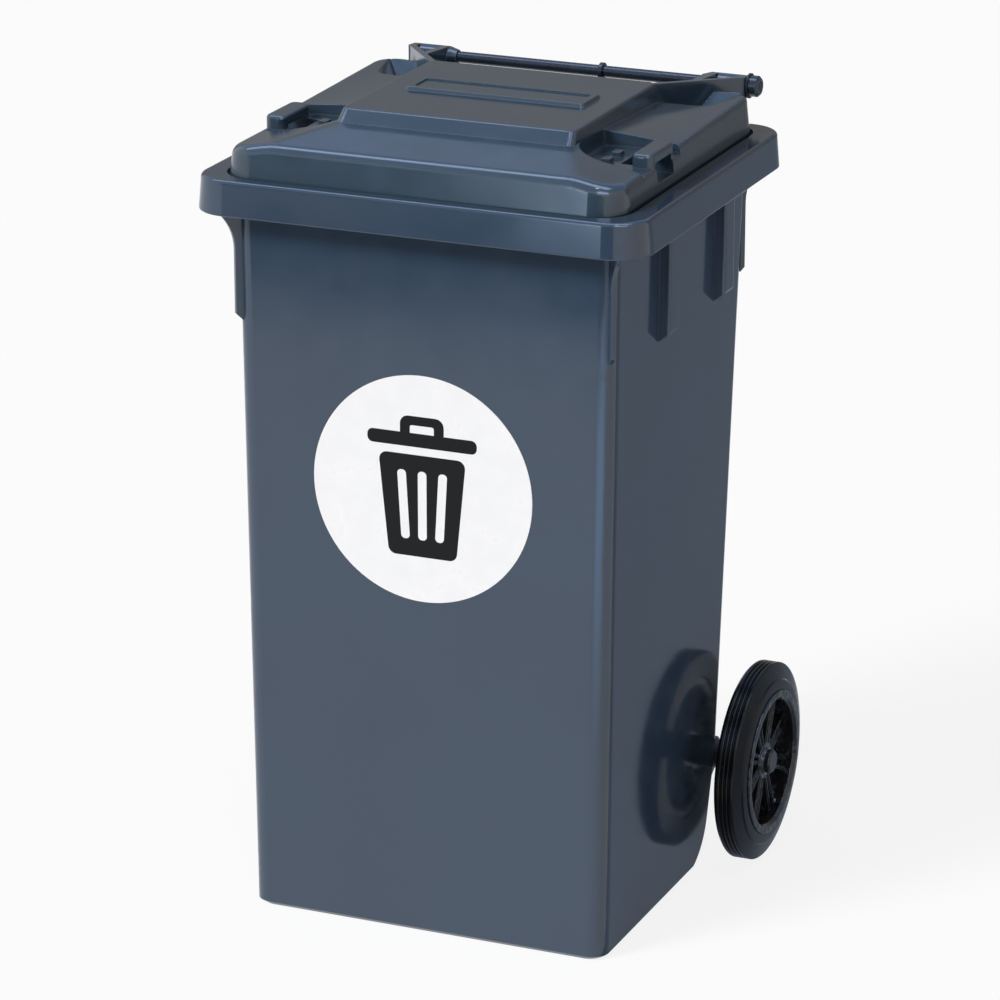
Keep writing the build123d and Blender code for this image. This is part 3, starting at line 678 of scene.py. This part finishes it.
def join(pieces, name):
    """Several mesh objects as one."""
    work = bmesh.new()
    for piece in pieces:
        work.from_mesh(piece.data)
    mesh = mesh_from(work, name)
    for material in pieces[0].data.materials:
        mesh.materials.append(material)
    for piece in pieces:
        bpy.data.objects.remove(piece)
    return add_object(name, mesh)


def wheel_place(side):
    """A wheel's way out, X of its inner and outer face, Y and Z of its axle, and its radius."""
    low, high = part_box(f"tyre_{side}")
    hub_low, hub_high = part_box(f"wheel_hub_{side}")
    return WheelPlace(
        way=SIDES[side],
        inner=min(abs(low.x), abs(high.x)),
        outer=max(abs(hub_low.x), abs(hub_high.x)),
        y=(low.y + high.y) / 2,
        z=(low.z + high.z) / 2,
        radius=(high.z - low.z) / 2,
    )


# Geometry trees


def start_tree(name, sockets):
    """A geometry tree with named inputs and one geometry output."""
    tree = bpy.data.node_groups.new(name, "GeometryNodeTree")
    for label, kind in sockets:
        tree.interface.new_socket(label, in_out="INPUT", socket_type=kind)
    tree.interface.new_socket("Geometry", in_out="OUTPUT", socket_type="NodeSocketGeometry")
    given = add_node(tree, "NodeGroupInput").outputs
    result = add_node(tree, "NodeGroupOutput").inputs
    return tree, given, result


def end_tree(tree, given, result, shape, turn=(0, 0, 0)):
    """Turns a shape, moves it to its middle, makes it real and gives it its finish."""
    placed = add_node(tree, "GeometryNodeTransform", {"Rotation": turn})
    real = add_node(tree, "GeometryNodeRealizeInstances")
    finish = add_node(tree, "GeometryNodeSetMaterial")
    link = tree.links.new
    link(shape, placed.inputs["Geometry"])
    link(given["Middle"], placed.inputs["Translation"])
    link(placed.outputs["Geometry"], real.inputs["Geometry"])
    link(real.outputs["Geometry"], finish.inputs["Geometry"])
    link(given["Finish"], finish.inputs["Material"])
    link(finish.outputs["Geometry"], result["Geometry"])


def ring_tree():
    """Sweeps a profile round a circle whose axis is X."""
    sockets = [
        ("Profile", "NodeSocketObject"),
        ("Radius", "NodeSocketFloat"),
        ("Steps", "NodeSocketInt"),
        ("Middle", "NodeSocketVector"),
        ("Finish", "NodeSocketMaterial"),
    ]
    tree, given, result = start_tree("turned_ring", sockets)
    circle = add_node(tree, "GeometryNodeCurvePrimitiveCircle", mode="RADIUS")
    upright_circle = add_node(tree, "GeometryNodeSetCurveNormal", mode="Z_UP")
    profile = add_node(tree, "GeometryNodeObjectInfo")
    swept = add_node(tree, "GeometryNodeCurveToMesh")
    link = tree.links.new
    link(given["Steps"], circle.inputs["Resolution"])
    link(given["Radius"], circle.inputs["Radius"])
    link(given["Profile"], profile.inputs["Object"])
    link(circle.outputs["Curve"], upright_circle.inputs["Curve"])
    link(upright_circle.outputs["Curve"], swept.inputs["Curve"])
    link(profile.outputs["Geometry"], swept.inputs["Profile Curve"])
    end_tree(tree, given, result, swept.outputs["Mesh"], (0, math.radians(90), 0))
    return tree


def spoke_tree():
    """Sets copies of one spoke round an X axis."""
    half_step = 0.5
    sockets = [
        ("Spoke", "NodeSocketObject"),
        ("Count", "NodeSocketInt"),
        ("Middle", "NodeSocketVector"),
        ("Finish", "NodeSocketMaterial"),
    ]
    tree, given, result = start_tree("spoke_set", sockets)
    points = add_node(tree, "GeometryNodePoints")
    spoke = add_node(tree, "GeometryNodeObjectInfo")
    index = add_node(tree, "GeometryNodeInputIndex")
    place = calculate(tree, "ADD", index.outputs["Index"], half_step)
    share = calculate(tree, "DIVIDE", place, given["Count"])
    turn = calculate(tree, "MULTIPLY", share, math.tau)
    angles = add_node(tree, "ShaderNodeCombineXYZ")
    rotation = add_node(tree, "FunctionNodeEulerToRotation")
    copies = add_node(tree, "GeometryNodeInstanceOnPoints")
    link = tree.links.new
    link(given["Count"], points.inputs["Count"])
    link(given["Spoke"], spoke.inputs["Object"])
    link(turn, angles.inputs["X"])
    link(angles.outputs["Vector"], rotation.inputs["Euler"])
    link(points.outputs["Points"], copies.inputs["Points"])
    link(spoke.outputs["Geometry"], copies.inputs["Instance"])
    link(rotation.outputs["Rotation"], copies.inputs["Rotation"])
    end_tree(tree, given, result, copies.outputs["Instances"])
    return tree


def grow(name, tree, values):
    """The result of a geometry tree as a plain mesh object."""
    maker = add_object(name + "_maker", bpy.data.meshes.new(name + "_maker"))
    modifier = maker.modifiers.new("shape", "NODES")
    modifier.node_group = tree
    for item in tree.interface.items_tree:
        if item.in_out == "INPUT":
            modifier[item.identifier] = values[item.name]
    return plain_mesh(maker, name)


def turn_ring(name, tree, build, outline, middle, way, finish):
    """A ring from its half section, given as X from its start and radius."""
    points = [(radius - build.seat_radius, -way * x) for x, radius in outline]
    profile = flat_curve(name + "_profile", [points])
    values = {
        "Profile": profile,
        "Radius": build.seat_radius,
        "Steps": build.ring_steps,
        "Middle": middle,
        "Finish": finish,
    }
    made = grow(name, tree, values)
    bpy.data.objects.remove(profile)
    return made


# Cards that the bin mirrors


def level(corners, height=CARD_LIFT):
    """Corners of a level card, from its plan."""
    return [(x, y, height) for x, y in corners]


def upright(start, end, low, high):
    """Corners of an upright card over a line in plan."""
    return [(*start, low), (*end, low), (*end, high), (*start, high)]


FRONT_ENDS = ((-SET_HALF, SET_FRONT), (SET_HALF, SET_FRONT))
REAR_ENDS = ((-SET_HALF, SET_REAR), (SET_HALF, SET_REAR))

# Setting that holds the colour, corners, strength and how far the glow reaches before it is gone
CARDS = {
    "side_card": Card(
        "side_grey",
        level([(0.196, -0.2), (3.2, 1.6), (3.2, SET_REAR), (0.196, SET_REAR)]),
    ),
    "front_card": Card(
        "front_grey",
        level([(-3, SET_FRONT), (2, SET_FRONT), (2, -2.2), (-3, -2.2)]),
    ),
    "corner_card": Card(
        "corner_blue",
        level([(0.2, -0.25), (0.1, -2.2), (1.0, -2.2), (1.75, -1.65)]),
        glow=2.8,
        reach=1.0,
    ),
    "ceiling_card": Card("top_blue", level([*FRONT_ENDS, *reversed(REAR_ENDS)], SET_TOP)),
    "strip_card": Card(
        "strip_blue",
        level([(-5, -0.9), (3, -0.9), (3, 0.9), (-5, 0.9)], STRIP_HEIGHT),
        glow=6.0,
    ),
    "window_card": Card("strip_blue", upright((-1.3, -3.9), (-0.9, -3.9), 0.3, 2.0), glow=6.0),
    "glint_card": Card("strip_blue", upright((1.0, -2.8), (2.6, -1.6), 1.7, 3.1), glow=7.0),
    "camera_card": Card("front_grey", upright(*FRONT_ENDS, 0, FRONT_CARD_TOP)),
    "rear_card": Card("rear_grey", upright(*REAR_ENDS, 0, REAR_CARD_TOP)),
    "shelf_card": Card("top_blue", upright(*REAR_ENDS, REAR_CARD_TOP, SET_TOP)),
}


def aim(thing, place, target):
    """Puts a camera or lamp in its place and points it at a target."""
    thing.location = place
    way = Vector(target) - Vector(place)
    thing.rotation_euler = way.to_track_quat("-Z", "Y").to_euler()


# Operators


class BIN_OT_dress_mouldings(bpy.types.Operator):
    """Finishes the tub and the lid as glossy moulded plastic."""

    bl_idname = "bin.dress_mouldings"
    bl_label = "Finish tub and lid"

    def execute(self, context):
        finish = context.scene.bin_moulding
        edge = finish.edge_radius
        tub = moulded_plastic("tub_plastic", finish.tub_colour, finish.tub_roughness, edge)
        lid = moulded_plastic("lid_plastic", finish.lid_colour, finish.lid_roughness, edge)
        paint("tub", tub)
        paint("lid", lid)
        return {"FINISHED"}


class BIN_OT_dress_pull_rod(bpy.types.Operator):
    """Finishes the hinge rod with its sleeve, ring, washer, nut and head."""

    bl_idname = "bin.dress_pull_rod"
    bl_label = "Finish pull rod"

    def execute(self, context):
        head_pale, washer_dark = 1.3, 0.5
        colour = context.scene.bin_moulding.grip_colour
        sleeve = dark_plastic("sleeve_plastic", colour, roughness=0.25)
        head = dark_plastic("head_plastic", shade(colour, head_pale), roughness=0.18)
        washer = dark_plastic("washer_plastic", shade(colour, washer_dark), roughness=0.5)
        paint("grip_sleeve", sleeve)
        paint("sleeve_clip_ring", sleeve)
        paint("hinge_rod_head", head)
        paint("hinge_washer", washer)
        for node in ("hinge_rod", "hinge_push_nut"):
            paint(node, context.scene.bin_steel)
        return {"FINISHED"}


class BIN_OT_dress_axle(bpy.types.Operator):
    """Finishes the axle with its spacers, bushes, washers and caps."""

    bl_idname = "bin.dress_axle"
    bl_label = "Finish axle"

    def execute(self, context):
        bush_pale, cap_pale = 4.0, 1.2
        black = context.scene.bin_wheels.hub_colour
        spacer = dark_plastic("spacer_plastic", black, roughness=0.45)
        bush = dark_plastic("bush_plastic", shade(black, bush_pale), roughness=0.4)
        cap = dark_plastic("cap_plastic", shade(black, cap_pale), roughness=0.2)
        paint("axle", context.scene.bin_steel)
        for side in SIDES:
            paint(f"spacer_sleeve_{side}", spacer)
            paint(f"hub_bush_{side}", bush)
            paint(f"axle_cap_{side}", cap)
            paint(f"axle_washer_{side}", context.scene.bin_steel)
        return {"FINISHED"}


class BIN_OT_make_tyres(bpy.types.Operator):
    """Makes the two tyres: round ribs on the tread and a stepped, sloping outer side."""

    bl_idname = "bin.make_tyres"
    bl_label = "Make tyres"

    def execute(self, context):
        build = context.scene.bin_wheels
        rubber = tyre_rubber(build.rubber_colour)
        rings = ring_tree()
        for side in SIDES:
            place = wheel_place(side)
            outline = self.outline(build, place.outer - place.inner, place.radius)
            middle = (place.way * place.inner, place.y, place.z)
            name = f"rubber_tyre_{side}"
            tyre = turn_ring(name, rings, build, outline, middle, place.way, rubber)
            mend_faces(tyre)
            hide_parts(f"tyre_{side}")
            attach(tyre, f"wheel_{side}")
        return {"FINISHED"}

    def outline(self, build, width, radius):
        """Half section of a tyre, as X from its inner face and radius."""
        side_round, shoulder_round, bead_round = 0.0012, 0.0015, 0.001
        rib_round, groove_round = 0.0016, 0.0003
        mouth_share, floor_share = 0.55, 0.4
        bead, shoulder, depth = build.bead_radius, build.shoulder, build.groove_depth
        seat = build.seat_radius + SEAT_CLEARANCE
        seat_start = HUB_INSET + FLANGE_THICKNESS + SEAT_CLEARANCE
        seat_end = width - FLANGE_THICKNESS - SEAT_CLEARANCE
        tread_end = shoulder + build.tread_width
        slope_end = width - shoulder / 2
        run = (build.step_radius - bead) / (radius - bead)
        step_x = slope_end + (tread_end - slope_end) * run
        corners = [
            (seat_start, bead, 0),
            (seat_start, seat, 0),
            (seat_end, seat, 0),
            (seat_end, bead, 0),
            (slope_end, bead, side_round),
            (step_x + build.step, build.step_radius - build.step, side_round),
            (step_x, build.step_radius, side_round),
            (tread_end, radius, rib_round),
        ]
        pitch = build.tread_width / build.tread_ribs
        mouth = depth * mouth_share
        floor = mouth * floor_share
        for number in range(1, build.tread_ribs):
            middle = tread_end - number * pitch
            corners += [
                (middle + mouth, radius, rib_round),
                (middle + floor, radius - depth, groove_round),
                (middle - floor, radius - depth, groove_round),
                (middle - mouth, radius, rib_round),
            ]
        corners += [
            (shoulder, radius, shoulder_round),
            (0, radius - shoulder, shoulder_round),
            (0, bead, bead_round),
        ]
        return rounded(corners, 0)


class BIN_OT_make_hubs(bpy.types.Operator):
    """Makes the two hubs: a flanged rim, a boss and pairs of spoke ribs."""

    bl_idname = "bin.make_hubs"
    bl_label = "Make hubs"

    def execute(self, context):
        build = context.scene.bin_wheels
        black = dark_plastic("hub_plastic", build.hub_colour, roughness=0.12, sway=0.0015)
        rings = bpy.data.node_groups.get("turned_ring") or ring_tree()
        spokes = spoke_tree()
        for side in SIDES:
            place = wheel_place(side)
            start = place.inner + HUB_INSET
            middle = (place.way * start, place.y, place.z)
            outlines = {"rim": self.rim(build, place.outer - start), "boss": self.boss(build)}
            made = [
                turn_ring(name, rings, build, outline, middle, place.way, black)
                for name, outline in outlines.items()
            ]
            spoke = self.spoke(build, place.way)
            values = {"Spoke": spoke, "Count": build.spokes, "Middle": middle, "Finish": black}
            made.append(grow("spokes", spokes, values))
            bpy.data.objects.remove(spoke)
            hub = join(made, f"spoked_hub_{side}")
            mend_faces(hub)
            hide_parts(f"wheel_hub_{side}")
            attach(hub, f"wheel_{side}")
        return {"FINISHED"}

    def rim(self, build, width):
        """Half section of the flanged rim, as X from the hub's inner face and radius."""
        lip_round = 0.0008
        thick, seat = FLANGE_THICKNESS, build.seat_radius
        inside = seat - build.rim_wall
        flange = seat + FLANGE_HEIGHT
        corners = [
            (0, inside + thick),
            (0, flange),
            (thick, flange),
            (thick, seat),
            (width - thick, seat),
            (width - thick, flange),
            (width, flange),
            (width, inside + thick),
            (width - thick, inside),
            (thick, inside),
        ]
        return rounded(corners, lip_round, steps=3)

    def boss(self, build):
        """Half section of the boss, as X from the hub's inner face and radius."""
        edge_round = 0.0012
        end, bore, outside = build.boss_length, build.bore_radius, build.boss_radius
        corners = [(0, bore, 0), (0, outside), (end, outside), (end, bore, 0)]
        return rounded(corners, edge_round, steps=3)

    def spoke(self, build, way):
        """Two ribs that spread towards the rim, and the web between them."""
        sunk, edge_round = 0.002, 0.0018
        rib_depth, boss_end, rim_end = (0.003, 0.0175), 0.0032, 0.0058
        web_depth, web_half = (0.006, 0.009), 0.0035
        near = build.boss_radius - sunk
        far = build.seat_radius - build.rim_wall + sunk
        work = bmesh.new()
        for sign in (-1, 1):
            ends = (sign * boss_end, sign * rim_end)
            self.bar(work, way, rib_depth, ends, build.rib_width / 2, near, far)
        self.bar(work, way, web_depth, (0, 0), web_half, near, far)
        bmesh.ops.bevel(
            work,
            geom=work.edges[:],
            offset=edge_round,
            offset_type="OFFSET",
            segments=3,
            affect="EDGES",
            clamp_overlap=True,
        )
        bmesh.ops.recalc_face_normals(work, faces=work.faces)
        return add_object("spoke", mesh_from(work, "spoke"))

    def bar(self, work, way, depth, middles, half, near, far):
        """A straight bar along Z whose ends may stand at different places."""
        back, front = depth
        corners = []
        for height, middle in ((near, middles[0]), (far, middles[1])):
            for x, y in ((back, -half), (front, -half), (front, half), (back, half)):
                corners.append(work.verts.new((way * x, middle + y, height)))
        for face in BAR_FACES:
            work.faces.new([corners[number] for number in face])


class BIN_OT_make_sticker(bpy.types.Operator):
    """Finishes the round sticker and prints a plain bin sign on it."""

    bl_idname = "bin.make_sticker"
    bl_label = "Make sticker"

    def execute(self, context):
        design = context.scene.bin_sticker
        paper = sticker_vinyl("sticker_paper", design.paper_colour, roughness=0.3)
        ink = sticker_vinyl("sticker_ink", design.ink_colour, roughness=0.5, gloss=0.12)
        paint("label_disc", paper)
        low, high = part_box("label_disc")
        size = (high.x - low.x) / 2 * design.sign_share
        outlines = [[point * size for point in line] for line in self.sign()]
        sign = flat_curve("sign_outline", outlines)
        sign.data.fill_mode = "BOTH"
        sign.data.extrude = design.ink_thickness / 2
        sign.data.materials.append(ink)
        made = plain_mesh(sign, "sticker_sign")
        tilt = math.asin((high.y - low.y - STICKER_THICKNESS) / (high.x - low.x))
        front = (low.y + high.y) / 2 - STICKER_THICKNESS / 2 - design.ink_thickness / 2
        place = Matrix.Translation(((low.x + high.x) / 2, front, (low.z + high.z) / 2))
        made.data.transform(place @ Matrix.Rotation(math.radians(90) + tilt, 4, "X"))
        mend_faces(made, angle=30)
        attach(made, "bin")
        return {"FINISHED"}

    def sign(self):
        """Outlines of the sign in shares of the sticker's radius: bin, slots, lid and handle."""
        bin_top, bin_foot, top_half, foot_half = 0.3, -0.6, 0.4, 0.31
        slot_top, slot_foot, slot_half = 0.16, -0.45, 0.04
        slot_gap, slot_lean = 0.19, 0.035
        lid_top, lid_low, lid_half = 0.49, 0.37, 0.5
        grip_top, grip_half, hole_top, hole_half = 0.64, 0.2, 0.56, 0.11
        bin_round, slot_round, lid_round = 0.07, 0.035, 0.05
        grip_round, hole_round = 0.08, 0.02
        body = [
            (-top_half, bin_top),
            (top_half, bin_top),
            (foot_half, bin_foot),
            (-foot_half, bin_foot),
        ]
        lines = [rounded(body, bin_round)]
        for way in (-1, 0, 1):
            top, foot = way * slot_gap, way * (slot_gap - slot_lean)
            slot = [
                (top - slot_half, slot_top),
                (top + slot_half, slot_top),
                (foot + slot_half, slot_foot),
                (foot - slot_half, slot_foot),
            ]
            lines.append(rounded(slot, slot_round))
        lid = [
            (-lid_half, lid_top),
            (lid_half, lid_top),
            (lid_half, lid_low),
            (-lid_half, lid_low),
        ]
        lines.append(rounded(lid, lid_round))
        grip = [
            (-grip_half, lid_top),
            (-grip_half, grip_top, grip_round),
            (grip_half, grip_top, grip_round),
            (grip_half, lid_top),
            (hole_half, lid_top),
            (hole_half, hole_top, hole_round),
            (-hole_half, hole_top, hole_round),
            (-hole_half, lid_top),
        ]
        lines.append(rounded(grip, 0))
        return lines


class BIN_OT_set_stage(bpy.types.Operator):
    """Sets the camera, the pale floor, the soft light and the cards that the bin mirrors."""

    bl_idname = "bin.set_stage"
    bl_label = "Set stage"

    def execute(self, context):
        studio = context.scene.bin_studio
        self.camera(context, studio)
        self.floor(studio)
        self.sky(context, studio)
        for name, plan in CARDS.items():
            self.card(name, getattr(studio, plan.colour), plan)
        self.key_light(studio)
        self.edge_light(studio)
        context.scene.view_settings.view_transform = "Standard"
        return {"FINISHED"}

    def camera(self, context, studio):
        """Camera at the viewing angle."""
        data = bpy.data.cameras.new("camera")
        data.lens = studio.lens
        data.sensor_width = SENSOR_WIDTH
        camera = add_object("camera", data)
        aim(camera, studio.eye, studio.target)
        context.scene.camera = camera

    def floor(self, studio):
        """Round pale floor under the wheels."""
        pale, roughness, cloud_dark = studio.floor_colour, 0.9, 0.99
        work = bmesh.new()
        bmesh.ops.create_circle(work, cap_ends=True, segments=FLOOR_STEPS, radius=FLOOR_RADIUS)
        mesh = mesh_from(work, "floor")
        material, tree, shader, where = start_material("pale_floor", pale, roughness)
        shader.inputs["Specular IOR Level"].default_value = 0.0
        cloud = spread(tree, noise(tree, where, scale=0.6, detail=3.0), low=0.3, high=0.7)
        clouded = blend(tree, cloud, pale, shade(pale, cloud_dark))
        tree.links.new(clouded, shader.inputs["Base Color"])
        white = add_node(tree, "ShaderNodeEmission", {"Color": (1, 1, 1, 1), "Strength": 1.0})
        share = calculate(tree, "MULTIPLY", seen_directly(tree), studio.floor_white)
        lifted = mix_shaders(tree, share, shader.outputs["BSDF"], white.outputs["Emission"])
        tree.links.new(lifted, tree.nodes["Material Output"].inputs["Surface"])
        mesh.materials.append(material)
        floor = add_object("floor", mesh)

    def sky(self, context, studio):
        """Even light all round, and a white background for what sees it directly."""
        world = bpy.data.worlds.new("studio")
        world.use_nodes = True
        tree = world.node_tree
        light = tree.nodes["Background"]
        light.inputs["Color"].default_value = (1, 1, 1, 1)
        light.inputs["Strength"].default_value = studio.sky
        seen = {"Color": (1, 1, 1, 1), "Strength": BACKDROP_WHITE}
        white = add_node(tree, "ShaderNodeBackground", seen)
        share = seen_directly(tree)
        mixed = mix_shaders(tree, share, light.outputs["Background"], white.outputs["Background"])
        tree.links.new(mixed, tree.nodes["World Output"].inputs["Surface"])
        context.scene.world = world

    def card(self, name, colour, plan):
        """A glowing card that shows only as a reflection."""
        mesh = bpy.data.meshes.new(name)
        mesh.from_pydata(plan.corners, [], [range(len(plan.corners))])
        material = bpy.data.materials.new(name)
        material.use_nodes = True
        tree = material.node_tree
        tree.nodes.clear()
        lit = {"Color": (*colour, 1), "Strength": plan.glow}
        surface = add_node(tree, "ShaderNodeEmission", lit).outputs["Emission"]
        if plan.reach:
            surface = self.faded(tree, surface, plan)
        output = add_node(tree, "ShaderNodeOutputMaterial")
        tree.links.new(surface, output.inputs["Surface"])
        mesh.materials.append(material)
        card = add_object(name, mesh)
        card.visible_camera = False
        card.visible_diffuse = False
        card.visible_shadow = False

    def faded(self, tree, surface, plan):
        """A card's glow that fades to clear away from its middle."""
        full_reach = plan.reach / 4
        place = add_node(tree, "ShaderNodeTexCoord").outputs["Object"]
        middle = sum((Vector(corner) for corner in plan.corners), Vector()) / len(plan.corners)
        away = add_node(tree, "ShaderNodeVectorMath", {1: middle}, operation="DISTANCE")
        clear = add_node(tree, "ShaderNodeBsdfTransparent")
        tree.links.new(place, away.inputs[0])
        share = spread(tree, away.outputs["Value"], full_reach, plan.reach)
        return mix_shaders(tree, share, surface, clear.outputs["BSDF"])

    def key_light(self, studio):
        """A wide sun from the front left, which the bin doesn't mirror."""
        data = bpy.data.lights.new("key_light", "SUN")
        data.energy = studio.key
        data.angle = studio.key_angle
        lamp = add_object("key_light", data)
        aim(lamp, KEY_PLACE, KEY_AIM)
        lamp.visible_glossy = False

    def edge_light(self, studio):
        """A soft square light over the bin."""
        data = bpy.data.lights.new("edge_light", "AREA")
        data.energy = studio.spark
        data.size = EDGE_SIZE
        aim(add_object("edge_light", data), EDGE_PLACE, EDGE_AIM)


class BIN_PT_steps(bpy.types.Panel):
    """Lists the steps and their settings in the sidebar."""

    bl_idname = "BIN_PT_steps"
    bl_label = "Wheeled Bin"
    bl_space_type = "VIEW_3D"
    bl_region_type = "UI"
    bl_category = "Wheeled Bin"

    def draw(self, context):
        for step in STEPS:
            self.layout.operator(step.bl_idname)
        for name, group in GROUPS.items():
            box = self.layout.box()
            for setting in group.__annotations__:
                box.prop(getattr(context.scene, name), setting)


GROUPS = {
    "bin_moulding": MouldingFinish,
    "bin_wheels": WheelBuild,
    "bin_sticker": StickerDesign,
    "bin_studio": StudioSetup,
}
STEPS = (
    BIN_OT_set_stage,
    BIN_OT_dress_mouldings,
    BIN_OT_dress_pull_rod,
    BIN_OT_dress_axle,
    BIN_OT_make_tyres,
    BIN_OT_make_hubs,
    BIN_OT_make_sticker,
)


def register():
    """Registers the settings, the steps and the panel."""
    for name, group in GROUPS.items():
        bpy.utils.register_class(group)
        setattr(bpy.types.Scene, name, PointerProperty(type=group))
    bpy.types.Scene.bin_steel = PointerProperty(
        name="Steel", description="Finish of the steel pieces", type=bpy.types.Material
    )
    for step in STEPS:
        bpy.utils.register_class(step)
    bpy.utils.register_class(BIN_PT_steps)


def unregister():
    """Takes everything out again."""
    bpy.utils.unregister_class(BIN_PT_steps)
    for step in reversed(STEPS):
        bpy.utils.unregister_class(step)
    del bpy.types.Scene.bin_steel
    for name, group in reversed(GROUPS.items()):
        delattr(bpy.types.Scene, name)
        bpy.utils.unregister_class(group)


def main():
    """Makes the whole picture."""
    register()
    bpy.context.scene.bin_steel = turned_steel()
    bpy.ops.bin.set_stage()
    bpy.ops.bin.dress_mouldings()
    bpy.ops.bin.dress_pull_rod()
    bpy.ops.bin.dress_axle()
    bpy.ops.bin.make_tyres()
    bpy.ops.bin.make_hubs()
    bpy.ops.bin.make_sticker()


if __name__ == "__main__":
    main()
